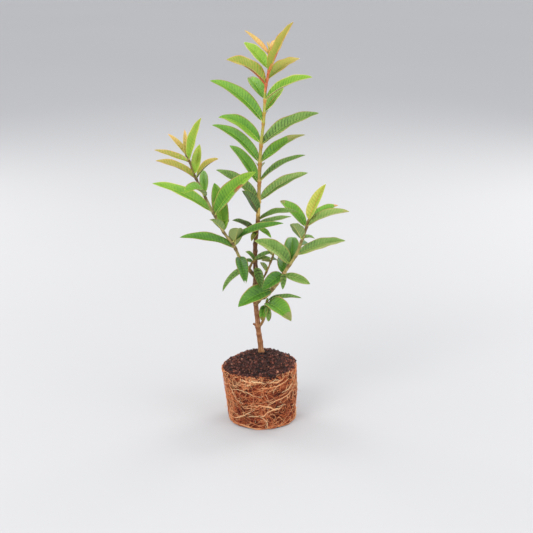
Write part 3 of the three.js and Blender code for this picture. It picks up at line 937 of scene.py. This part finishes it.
def bark_finish(name, node_stops, stops):
    """Bark whose colour runs along the stem, browner below the nodes, streaked and flecked."""
    finish = Finish(name, Specular_IOR_Level=0.3)
    reach = finish.attribute("reach")
    band = finish.attribute("node_band")
    streak = finish.noise(900, 4.0, 0.6, (1, 1, 0.18))
    patch = finish.noise(160, 3.0, 0.5, (1, 1, 0.5))
    fleck = finish.noise(1100, 2.0, 0.6, (1, 1, 0.6)).above(0.60, 0.08)
    along = reach + (patch - 0.5) * 0.05
    base = finish.ramp(along, stops)
    dark = finish.node("ShaderNodeVectorMath", {"operation": "SCALE"}, Vector=base, Scale=0.42)["Vector"]
    pale = finish.mix(0.5, base, linear((0.93, 0.80, 0.60)))
    coloured = finish.mix(streak.above(0.56, 0.25) * 0.55, base, pale)
    coloured = finish.mix(fleck * 0.65, coloured, dark)
    coloured = finish.mix(streak.above(0.40, -0.2) * 0.45, coloured, dark)
    coloured = finish.mix(band * (0.5 + streak * 0.5), coloured, finish.ramp(reach, node_stops))
    finish.set(Base_Color=coloured, Roughness=patch * 0.25 + 0.55)
    finish.bump(streak + patch * 0.6, 0.0004)
    return finish


# Every ramp's stops lie at shares of the way up the stem.
LEADER_NODES = [
    (0.45, (0.46, 0.26, 0.14)), (0.47, (0.80, 0.64, 0.34)), (0.515, (0.76, 0.60, 0.31)),
    (0.54, (0.62, 0.36, 0.16)), (0.78, (0.66, 0.38, 0.17)), (0.85, (0.80, 0.42, 0.27)),
]
LEADER_BARK = bark_finish("leader_bark", LEADER_NODES, [
    (0.00, (0.56, 0.36, 0.21)), (0.05, (0.61, 0.40, 0.25)), (0.12, (0.60, 0.38, 0.25)),
    # From 0.22 to 0.45 of the way up, among the lowest leaves and boughs, the bark is darker: partly its own
    # brown, partly painted shade from the crown.
    (0.22, (0.46, 0.31, 0.20)), (0.29, (0.30, 0.21, 0.15)), (0.40, (0.25, 0.19, 0.13)),
    (0.45, (0.40, 0.32, 0.18)), (0.475, (0.82, 0.70, 0.38)), (0.51, (0.78, 0.67, 0.35)),
    (0.53, (0.62, 0.56, 0.27)), (0.60, (0.58, 0.53, 0.25)), (0.72, (0.62, 0.62, 0.26)),
    (0.80, (0.62, 0.67, 0.27)), (0.855, (0.65, 0.69, 0.28)), (0.868, (0.88, 0.46, 0.33)),
    (0.885, (0.82, 0.46, 0.31)), (0.905, (0.66, 0.36, 0.23)), (0.925, (0.70, 0.42, 0.26)),
    (0.95, (0.62, 0.62, 0.26)), (0.98, (0.68, 0.68, 0.28)),
])
RIGHT_BARK = bark_finish("right_shoot_bark", [(0, (0.40, 0.30, 0.17))], [
    (0.00, (0.58, 0.44, 0.27)), (0.10, (0.70, 0.60, 0.38)), (0.28, (0.76, 0.67, 0.43)),
    (0.42, (0.72, 0.62, 0.40)), (0.60, (0.60, 0.57, 0.30)), (0.80, (0.57, 0.55, 0.29)),
    (0.91, (0.40, 0.34, 0.19)), (1.00, (0.54, 0.52, 0.24)),
])
LEFT_BARK = bark_finish("left_shoot_bark", [(0, (0.32, 0.23, 0.14))], [
    (0.00, (0.46, 0.37, 0.24)), (0.12, (0.66, 0.58, 0.38)), (0.30, (0.64, 0.58, 0.36)),
    (0.48, (0.57, 0.54, 0.32)), (0.64, (0.57, 0.56, 0.32)), (0.70, (0.38, 0.34, 0.20)),
    (0.76, (0.50, 0.47, 0.25)), (0.81, (0.32, 0.25, 0.18)), (0.86, (0.48, 0.42, 0.22)),
    (0.93, (0.49, 0.44, 0.25)), (1.00, (0.58, 0.56, 0.29)),
])
TWIG_BARK = bark_finish("twig_bark", [(0, (0.46, 0.36, 0.20))], [
    (0.00, (0.52, 0.34, 0.19)), (0.50, (0.60, 0.45, 0.24)), (1.00, (0.58, 0.52, 0.25)),
])


def stem_piece(name, shoots, finish, replaced, **how):
    """The stems of some shoots, as one piece with the two values that its bark reads."""
    shape = Shape()
    marks = [grow_stem(shape, shoot, **how) for shoot in shoots]
    if LEADER in shoots:
        marks.append(grow_stub(shape))
    reach, band = (np.concatenate(values) for values in zip(*marks))
    shape.piece(name, [finish], replaced, {"reach": reach, "node_band": band})


stem_piece("leader_stem", [LEADER], LEADER_BARK, ["trunk"], node_reach=7.0)
stem_piece("right_shoot_stem", [RIGHT_SHOOT], RIGHT_BARK, ["right_bough"], green_from=110.0)
stem_piece("left_shoot_stem", [LEFT_SHOOT], LEFT_BARK, ["left_bough"], green_from=120.0)
stem_piece("small_twigs", TWIGS, TWIG_BARK, [], green_from=40.0)

BUD_STEPS = 7
BUD_LIFT = 1.8  # how far above its leaf a bud stands
LONG_SHOOT = 100  # shoots longer than this have a large bronze tip bud


def grow_buds():
    """A small bud in the corner above each leaf, and a pair of unopened leaves on each shoot's tip."""
    shape = Shape()
    share = np.linspace(0, 1, BUD_STEPS)
    swell = np.sin(np.pi * np.clip(share * 0.86 + 0.12, 0, 1)) ** 0.8
    for shoot in [LEADER, RIGHT_SHOOT, LEFT_SHOOT] + TWIGS:
        for plan in shoot.leaves:
            at = plan["at"] + BUD_LIFT
            if at > shoot.length - 2:
                continue
            out = direction(plan["heading"], 10)
            start = shoot.at(at) + out * shoot.radius(at) * 0.7
            way = unit(out * 0.6 + shoot.along(at))
            size = rng.uniform(2.0, 3.4)
            tone = tone_on("green", rng.uniform(4, 7)) if rng.random() < 0.6 else line_tone("brown")
            tube(shape, start + way * size * share[:, None], 0.62 * swell + 0.04, 7, tone, out)
        up = shoot.along(shoot.length)
        start = shoot.at(shoot.length) - up * 1.5
        is_long = shoot.length > LONG_SHOOT
        size = 7.5 if is_long else 4.5
        tone = tone_on("bronze", 5.6) if is_long else tone_on("green", 5)
        for turn in (20, 200):
            out = direction(turn, 0)
            path = start + unit(up + 0.22 * out) * size * share[:, None]
            tube(shape, path, 0.75 * swell + 0.05, 8, tone, out)
    shape.piece("buds", LEAF_FINISHES)


grow_buds()

# ---------------------------------------------------------------- root ball

BALL_HEIGHT = 80
BALL_RIM_RADIUS = 50
BALL_FOOT_RADIUS = 45
BALL_LEAN = -3.3  # the rim's centre lies this far along X from the underside's
BALL_EDGE = 2  # radius of the rounded edge round the underside
BALL_SLANT = 5  # the rim is this much lower on the left than on the right
RIM_WIDTH = 3.5
RIM_DEPTH = 5
RIM_ROUND = 0.3  # how far the rim's own edges lie below its top
BODY_INSET = 0.6  # the body lies this far inside the mat of roots
BALL_SIDES = 300

# Shallow waves round the ball's side: depth, number round it, twist for each millimetre up, and start.
LUMPS = [(0.7, 3, 0.06, 0), (0.5, 7, -0.11, 1), (0.4, 11, 0.17, 2)]


def ball_radius(angle, height):
    share = np.clip((height - BALL_EDGE) / (BALL_HEIGHT - BALL_EDGE), 0, 1)
    radius = BALL_FOOT_RADIUS + (BALL_RIM_RADIUS - BALL_FOOT_RADIUS) * share
    for depth, count, twist, start in LUMPS:
        radius = radius + depth * np.sin(count * angle + twist * height + start)
    return radius


def slanted(angle, radius, height):
    """A place at an angle and radius in the ball, whose rim leans and slants."""
    share = height / BALL_HEIGHT
    x = BALL_LEAN * share + radius * np.cos(angle)
    z = height - BALL_SLANT / 2 * (1 - np.cos(angle)) * share
    return np.stack(np.broadcast_arrays(x, radius * np.sin(angle), z), -1)


def ball_point(angle, height, out=0.0):
    """A place on the ball's side, or out of it by a distance."""
    return slanted(angle, ball_radius(angle, height) + out, height)


def ball_rings():
    """The body's rings of points: underside, side with its rounded edge, rim and the floor inside it."""
    angle = even_angles(BALL_SIDES)
    rings = [ball_point(angle, 0.0) * [share, share, 1] for share in (0.02, 0.2, 0.4, 0.6, 0.8, 0.93)]
    for height in np.concatenate([[0.0, 0.5], np.arange(1.2, BALL_HEIGHT - 0.5, 1.0)]):
        edge = max(0.0, BALL_EDGE - height)
        rings.append(ball_point(angle, height, math.sqrt(BALL_EDGE**2 - edge**2) - BALL_EDGE - BODY_INSET))
    inner = BALL_RIM_RADIUS - RIM_WIDTH
    shoulder = BALL_HEIGHT - RIM_ROUND
    floor = BALL_HEIGHT - RIM_DEPTH
    rim = [(BALL_RIM_RADIUS - 0.8, shoulder), (BALL_RIM_RADIUS - 1.8, BALL_HEIGHT), (inner + 0.4, shoulder),
           (inner, BALL_HEIGHT - 1.5), (inner, floor), (inner * 0.5, floor), (0.5, floor)]
    return np.stack(rings + [slanted(angle, radius, height) for radius, height in rim])


def root_mat_finish():
    """Dark soil behind rusty fibres that run round the ball."""
    finish = Finish("root_mat", Specular_IOR_Level=0.2)
    patch = finish.noise(70, 4.0, 0.6)
    grain = finish.noise(520, 4.0, 0.65)
    fibre = finish.noise(300, 3.0, 0.6, (1, 1, 3.2))
    colour = finish.ramp(patch * 0.55 + fibre * 0.45, [
        (0.36, (0.12, 0.06, 0.05)), (0.47, (0.30, 0.13, 0.09)), (0.56, (0.52, 0.23, 0.14)),
        (0.68, (0.72, 0.38, 0.23)),
    ])
    colour = finish.mix(grain.above(0.42, -0.16) * 0.8, colour, linear((0.12, 0.07, 0.06)))
    finish.set(Base_Color=colour, Roughness=grain * 0.2 + 0.78)
    finish.bump(grain + fibre, 0.0009)
    return finish


def grow_ball():
    """The root ball's rough body, smooth only on the flat underside."""
    rings = ball_rings()
    level_out = unit((rings - [BALL_LEAN / 2, 0, 0]) * [1, 1, 0.001])
    rough = 0.9 * fractal(rings, 5.0, 4, 3.0) + 0.5 * fractal(rings, 1.6, 2, 4.0)
    shape = Shape()
    shape.add_rings(rings + level_out * (rough * (rings[..., 2] > 0.4))[..., None])
    shape.piece("root_ball_body", [root_mat_finish()], ["root_ball"])


grow_ball()

# Roots from pale straw to dark red, then the colour of soil.
ROOT_COLOURS = [
    (0.93, 0.80, 0.62), (0.89, 0.67, 0.48), (0.84, 0.52, 0.33), (0.74, 0.39, 0.23),
    (0.60, 0.27, 0.17), (0.40, 0.18, 0.12), (0.18, 0.10, 0.09),
]
ROOT_FINISHES = plain_finishes("root", ROOT_COLOURS, ROOT_GRAIN)
LEVEL = [0, math.pi]  # headings of a root that runs level round the ball, to the one side or the other
STEP_RADIUS = 47.0  # radius that turns a root's steps into angles round the ball
END_SINK = 1.6  # how far a root's ends sink into the ball, and over what length
END_LENGTH = 2.5


def any_angle():
    return rng.uniform(0, 2 * math.pi)


def level_heading(spread):
    return rng.choice(LEVEL) + rng.normal(0.1, spread)


def outward(angles):
    """The level directions out of the ball at angles round it."""
    return np.stack([np.cos(angles), np.sin(angles), np.zeros(len(angles))], -1)


def root_line(angle, height, heading, length, radius, step, wander, spread):
    """A root's winding line over the ball's side: it weaves in and out, and turns back at the edges."""
    count = max(4, int(length / step))
    turns = rng.normal(0, wander, count)
    angles = np.empty(count)
    heights = np.empty(count)
    for i in range(count):
        angles[i] = angle
        heights[i] = height
        heading += turns[i]
        low = height < radius + 1.5 and math.sin(heading) < 0
        high = height > BALL_HEIGHT - radius - 1.0 and math.sin(heading) > 0
        if low or high:
            heading = -0.6 * heading if abs(heading) < 1.5 else 2 * math.pi - heading
        angle += math.cos(heading) * step / STEP_RADIUS
        height = min(max(height + math.sin(heading) * step, radius + 0.1), BALL_HEIGHT - radius + 0.6)
    pace = rng.uniform(0.12, 0.3)
    weave = spread * (0.5 + 0.5 * np.sin(np.arange(count) * step * pace + rng.uniform(0, 6)))
    from_end = np.minimum(np.arange(count), np.arange(count)[::-1]) * step
    sunk = END_SINK * np.exp(-from_end / END_LENGTH)
    edge = np.clip((BALL_EDGE - heights) / BALL_EDGE, 0, 1)
    return ball_point(angles, heights, weave + radius * 0.6 - sunk - 1.2 * edge**2), angles


def add_root(shape, angle, height, heading, length, radius, tone, wander, step=2.0, sides=5, spread=1.1):
    """A tapering root that starts at a place on the ball's side, wanders and weaves."""
    path, angles = root_line(angle, height, heading, length, radius, step, wander, spread)
    taper = radius * (1 - 0.45 * np.linspace(0, 1, len(path)))
    tube(shape, path, taper, sides, tone, outward(angles))


def nearness(angle, height, spot):
    """How close a place on the ball is to a spot, 1 at its middle: angle, height, breadth, tallness."""
    middle, level, breadth, tallness = spot
    turn = (math.degrees(angle) - middle + 180) % 360 - 180
    return math.exp(-((turn / breadth) ** 2) - ((height - level) / tallness) ** 2)


def nearest(angle, height, spots):
    return max(nearness(angle, height, spot) for spot in spots)


# Spots where the soil shows between the roots, and where the mat is pale or red.
BARE_SPOTS = [(-92, 18, 9, 6), (-68, 19, 10, 7), (-68, 72, 13, 4), (-112, 30, 6, 5), (40, 30, 14, 9),
              (110, 52, 16, 8), (190, 24, 15, 9), (-20, 40, 8, 7)]
PALE_SPOTS = [(-136, 67, 22, 9), (-100, 73, 16, 5), (-165, 40, 12, 26), (-28, 62, 12, 12), (70, 66, 30, 9),
              (160, 60, 26, 12)]
RED_SPOTS = [(-134, 41, 16, 10), (-100, 48, 14, 8), (-60, 48, 16, 9), (90, 34, 30, 10), (10, 20, 20, 9)]


def mat_tone(place, angle, height):
    """The finish of a thin root, from straw to the colour of soil, by where it lies on the ball."""
    value = 2.6 + 1.5 * fractal(place, 9.0, 2, 11.0) + rng.normal(0, 0.95)
    value -= 1.5 * nearest(angle, height, PALE_SPOTS)
    value += 1.2 * nearest(angle, height, RED_SPOTS)
    return int(np.clip(round(value), 1, len(ROOT_COLOURS) - 1))


FINE_ROOTS = 2700
PALE_ROOTS = 190
FOOT_ROOTS = 16
RIM_ROOTS = 130


def grow_fine_roots():
    """The mat of thin orange roots, thinner where the soil shows through."""
    for name, low, high in (("lower_root_mat", 0.0, 0.5), ("upper_root_mat", 0.5, 1.0)):
        shape = Shape()
        for _ in range(FINE_ROOTS // 2):
            angle = any_angle()
            height = BALL_HEIGHT * rng.uniform(low, high)
            place = ball_point(angle, height)
            cover = fractal(place, 16.0, 2, 6.0)
            bare = nearest(angle, height, BARE_SPOTS)
            if rng.random() < max(bare * 1.2, 0.8 * (cover < -0.25)):
                continue
            add_root(shape, angle, height, level_heading(0.8), rng.uniform(7, 26), rng.uniform(0.18, 0.44),
                     mat_tone(place, angle, height), wander=0.5, step=1.6, sides=4)
        shape.piece(name, ROOT_FINISHES)


def wind_pale_roots(shape):
    """Pale roots that wind round the ball, and the roots that circle its bottom edge and its rim."""
    for _ in range(PALE_ROOTS):
        angle = any_angle()
        height = rng.uniform(3, BALL_HEIGHT - 1)
        add_root(shape, angle, height, level_heading(0.5), rng.uniform(10, 46), rng.uniform(0.22, 0.42),
                 rng.choice([0, 1, 1, 2, 2]), wander=0.34, step=1.8, spread=1.6)
    for _ in range(FOOT_ROOTS):
        add_root(shape, any_angle(), rng.uniform(0.8, 2.0), rng.choice(LEVEL), rng.uniform(30, 80),
                 rng.uniform(0.3, 0.45), rng.choice([0, 1, 1, 2]), wander=0.04, sides=6, spread=0.5)
    for _ in range(RIM_ROOTS):
        add_root(shape, any_angle(), BALL_HEIGHT - rng.uniform(0, 2.4), rng.choice(LEVEL),
                 rng.uniform(4, 18), rng.uniform(0.22, 0.4), rng.choice([1, 2, 2, 3, 4]),
                 wander=0.4, step=1.6, spread=1.4)


# Angle round the ball, in degrees, and height of each bend of the roots that stand out most;
# radius; number of strands that run together.
PLACED_ROOTS = [
    ([(-40, 70), (-57, 65), (-66, 63), (-79, 62), (-94, 63)], 0.5, 3),
    ([(-108, 37), (-90, 36), (-77, 34), (-67, 29), (-56, 30), (-46, 33)], 0.6, 4),
    ([(-33, 50), (-51, 44), (-65, 42), (-78, 36)], 0.4, 3),
    ([(-140, 12), (-126, 17), (-114, 23), (-100, 31)], 0.4, 3),
    ([(-112, 19), (-96, 21), (-86, 22), (-77, 27), (-62, 31)], 0.42, 3),
    ([(-24, 70), (-28, 62), (-40, 56), (-55, 52)], 0.4, 3),
    ([(-106, 75), (-104, 70), (-110, 66), (-118, 64)], 0.42, 2),
    ([(-122, 74), (-106, 72), (-92, 73), (-84, 70)], 0.5, 4),
    ([(-80, 73), (-70, 70), (-58, 70), (-48, 74)], 0.42, 4),
    ([(-76, 69), (-66, 73), (-56, 71)], 0.34, 2),
    ([(-140, 56), (-124, 58), (-108, 55), (-96, 50), (-84, 51)], 0.3, 2),
    ([(-70, 12), (-66, 18), (-72, 23), (-80, 20)], 0.3, 2),
    ([(-96, 12), (-90, 15), (-84, 13), (-78, 17)], 0.3, 2),
]


def lay_placed_roots(shape):
    """The roots that stand out most. The first strand runs all the way, and thinner ones run along it."""
    for route, radius, strands in PLACED_ROOTS:
        bends = smooth_line([(angle, height, 0) for angle, height in route], 10)
        for strand in range(strands):
            is_first = strand == 0
            first = 0 if is_first else rng.integers(0, len(bends) // 2)
            last = len(bends) if is_first else rng.integers(len(bends) * 2 // 3, len(bends))
            steps = np.arange(last - first)
            start = rng.uniform(0, 6, 2)
            sway = 0.45 * np.sin(steps * 0.55 + start[0]) + 0.35 * np.sin(steps * 1.3 + start[1])
            drift = 0 if is_first else rng.normal(0, 1.3)
            angles = np.radians(bends[first:last, 0])
            path = ball_point(angles, bends[first:last, 1] + sway + drift, 1.1 + 0.4 * np.sin(steps * 0.4))
            girth = radius * (1 if is_first else 0.6)
            taper = girth * (0.35 + 0.65 * np.sin(np.pi * np.linspace(0.12, 0.95, len(angles))))
            tone = rng.choice([0, 0, 1] if is_first else [1, 2])
            tube(shape, path, taper, 6, tone, outward(angles))


def grow_pale_roots():
    shape = Shape()
    wind_pale_roots(shape)
    lay_placed_roots(shape)
    shape.piece("pale_roots", ROOT_FINISHES)


grow_fine_roots()
grow_pale_roots()

# ---------------------------------------------------------------- soil

SOIL_FALL = 1.7  # exponent of the heap's slope: level at the trunk, steeper at the rim
SEAT_RADIUS = 9  # of the level top round the trunk
SOIL_OVERLAP = 0.6  # how far the soil reaches into the rim
SOIL_SIDES = 220
SOIL_RINGS = 46


def soil_place(angle, share):
    """A place on the heaped soil: share 0 is the edge of the trunk's seat, 1 the root ball's wall."""
    wall = slanted(angle, BALL_RIM_RADIUS - RIM_WIDTH + SOIL_OVERLAP, BALL_HEIGHT)
    x = (1 - share) * (TRUNK_FOOT[0] + SEAT_RADIUS * np.cos(angle)) + share * wall[..., 0]
    y = (1 - share) * (TRUNK_FOOT[1] + SEAT_RADIUS * np.sin(angle)) + share * wall[..., 1]
    z = SOIL_TOP - (SOIL_TOP - wall[..., 2]) * share**SOIL_FALL
    return np.stack(np.broadcast_arrays(x, y, z), -1)


def soil_finish():
    finish = Finish("soil", Specular_IOR_Level=0.25)
    patch = finish.noise(120, 3.0)
    grain = finish.noise(800, 4.0, 0.7)
    colour = finish.ramp(grain * 0.6 + patch * 0.4, [
        (0.36, (0.08, 0.045, 0.04)), (0.5, (0.18, 0.10, 0.085)), (0.62, (0.32, 0.18, 0.14)),
    ])
    finish.set(Base_Color=colour, Roughness=grain * 0.2 + 0.78)
    finish.bump(grain, 0.001)
    return finish


def grow_soil():
    """The heaped soil's uneven top, closed below inside the rim."""
    top = soil_place(even_angles(SOIL_SIDES)[None], np.linspace(0, 1, SOIL_RINGS)[:, None])
    top[..., 2] += 1.3 * fractal(top, 7.0, 4, 8.0) + 0.8 * fractal(top, 2.2, 3, 9.0) - 0.2
    seat = []
    for share in (0.06, 0.35, 0.7):
        ring = top[0].copy()
        ring[:, :2] = TRUNK_FOOT[:2] + (ring[:, :2] - TRUNK_FOOT[:2]) * share
        seat.append(ring)
    floor = top[-1].copy()
    floor[:, 2] = BALL_HEIGHT - RIM_DEPTH + 0.5
    inmost = floor * [0.02, 0.02, 1]
    shape = Shape()
    shape.add_rings(np.stack(seat + list(top) + [floor, inmost])[::-1])
    shape.piece("soil_heap", [soil_finish()], ["top_soil"])


grow_soil()

CRUMBS = 5200
FOOT_CRUMBS = 170
SPILT_CRUMBS = 260
LARGEST_CRUMB = 2.5
SPILL = (-68, 9)  # middle and spread of the angles where soil has spilt over the rim
CRUMB_COLOURS = [
    (0.09, 0.05, 0.05), (0.16, 0.09, 0.08), (0.26, 0.14, 0.12), (0.39, 0.21, 0.17),
    (0.54, 0.30, 0.23), (0.68, 0.47, 0.37),
]
CRUMB_FINISHES = plain_finishes("crumb", CRUMB_COLOURS, ROOT_GRAIN)


def crumb_form():
    """The corners and faces of a twenty-sided lump."""
    tall = (1 + 5**0.5) / 2
    corners = [(-1, tall, 0), (1, tall, 0), (-1, -tall, 0), (1, -tall, 0), (0, -1, tall), (0, 1, tall),
               (0, -1, -tall), (0, 1, -tall), (tall, 0, -1), (tall, 0, 1), (-tall, 0, -1), (-tall, 0, 1)]
    faces = [(0, 11, 5), (0, 5, 1), (0, 1, 7), (0, 7, 10), (0, 10, 11), (1, 5, 9), (5, 11, 4),
             (11, 10, 2), (10, 7, 6), (7, 1, 8), (3, 9, 4), (3, 4, 2), (3, 2, 6), (3, 6, 8),
             (3, 8, 9), (4, 9, 5), (2, 4, 11), (6, 2, 10), (8, 6, 7), (9, 8, 1)]
    return unit(np.array(corners, float)), np.array(faces)


def grow_crumbs():
    """Loose crumbs: on the heap, lighter and redder to its left and right as painted rim light, round the
    trunk and spilt over the rim.
    """
    corners, faces = crumb_form()
    shape = Shape()

    def add_crumb(place, size, tone):
        reach = size * rng.uniform(0.6, 1.25, (len(corners), 1)) * rng.uniform(0.6, 1.1, (1, 3))
        number = int(np.clip(round(tone), 0, len(CRUMB_COLOURS) - 1))
        shape.add(place + [0, 0, rng.uniform(-0.1, 0.8) * size] + corners * reach, (faces, number))

    for _ in range(CRUMBS):
        share = min(rng.uniform(0, 1) ** 0.6 * 1.07, 1.06)
        angle = any_angle()
        place = soil_place(angle, share)
        size = min(LARGEST_CRUMB, 0.62 * math.exp(rng.normal(0, 0.6)) + 0.12)
        # Painted rim light: crumbs turn lighter and redder toward the rim on the heap's left and right, on
        # top of their random tone.
        tone = 0.45 + 0.9 * share * abs(math.cos(angle)) + 0.9 * fractal(place, 9.0, 2, 12.0)
        add_crumb(place, size, tone + abs(rng.normal(0, 1.6)))
    for _ in range(FOOT_CRUMBS):
        angle = any_angle()
        out = rng.uniform(4.6, SEAT_RADIUS)
        place = TRUNK_FOOT + [out * math.cos(angle), out * math.sin(angle), 0.25 * (8 - out) - 0.4]
        add_crumb(place, rng.uniform(0.5, 1.2), rng.normal(0.9, 0.8))
    for _ in range(SPILT_CRUMBS):
        angle = math.radians(rng.normal(*SPILL))
        height = BALL_HEIGHT + 0.5 - abs(rng.normal(0, 4.0))
        add_crumb(ball_point(angle, height, 0.2), rng.uniform(0.4, 1.0), rng.normal(0.9, 0.9))
    shape.piece("soil_crumbs", CRUMB_FINISHES, smooth=False)


SIDE_HAIRS = 90
SOIL_HAIRS = 22
HAIR_STEPS = 8


def grow_hairs():
    """Loose root hairs that stand off the ball's side and lie in the soil."""
    shape = Shape()
    share = np.linspace(0, 1, HAIR_STEPS)[:, None]
    bend = np.linspace(-1, 1, HAIR_STEPS)[:, None]
    for _ in range(SIDE_HAIRS):
        angle = any_angle()
        start = ball_point(angle, rng.uniform(6, BALL_HEIGHT - 3))
        out = direction(math.degrees(angle) + rng.normal(0, 50), rng.normal(5, 30))
        length = rng.uniform(3, 8)
        sideways = np.cross(out, UP) * rng.normal(0, 0.35) + UP * rng.normal(0, 0.4)
        path = start + out * length * share + sideways * length * share**2
        tube(shape, path, 0.16 - 0.09 * share[:, 0], 4, rng.choice([0, 1, 2]), np.array([0.3, 0.2, 1.0]))
    for _ in range(SOIL_HAIRS):
        reach = rng.uniform(0.1, 1.0)
        start = soil_place(any_angle(), reach)
        way = direction(rng.uniform(0, 360), rng.normal(0, 6))
        length = rng.uniform(2, 7)
        path = start + way * length * bend + np.cross(way, UP) * length * rng.normal(0, 0.3) * bend**2
        path[:, 2] += 0.9 + 0.5 * (1 - bend[:, 0] ** 2) - 0.8 * np.abs(bend[:, 0])
        radii = np.full(HAIR_STEPS, rng.uniform(0.12, 0.24))
        tube(shape, path, radii, 4, rng.choice([2, 4, 5, 5]), np.array([0.1, 0.2, 1.0]))
    shape.piece("root_hairs", ROOT_FINISHES)


grow_crumbs()
grow_hairs()

# ---------------------------------------------------------------- floor

FLOOR_HALF = 20  # metres


def lay_floor():
    """A plain pale floor, faintly clouded."""
    corners = [(-FLOOR_HALF, -FLOOR_HALF, 0), (FLOOR_HALF, -FLOOR_HALF, 0),
               (FLOOR_HALF, FLOOR_HALF, 0), (-FLOOR_HALF, FLOOR_HALF, 0)]
    mesh = bpy.data.meshes.new("floor")
    mesh.from_pydata(corners, [], [(0, 1, 2, 3)])
    finish = Finish("floor_paint", Specular_IOR_Level=0.2)
    cloud = finish.noise(0.8, 2.0)
    colour = finish.mix(cloud, linear((0.70, 0.70, 0.71)), linear((0.725, 0.725, 0.73)))
    finish.set(Base_Color=colour, Roughness=cloud * 0.1 + 0.6)
    mesh.materials.append(finish.material)
    floor = bpy.data.objects.new("floor", mesh)
    bpy.context.collection.objects.link(floor)


lay_floor()
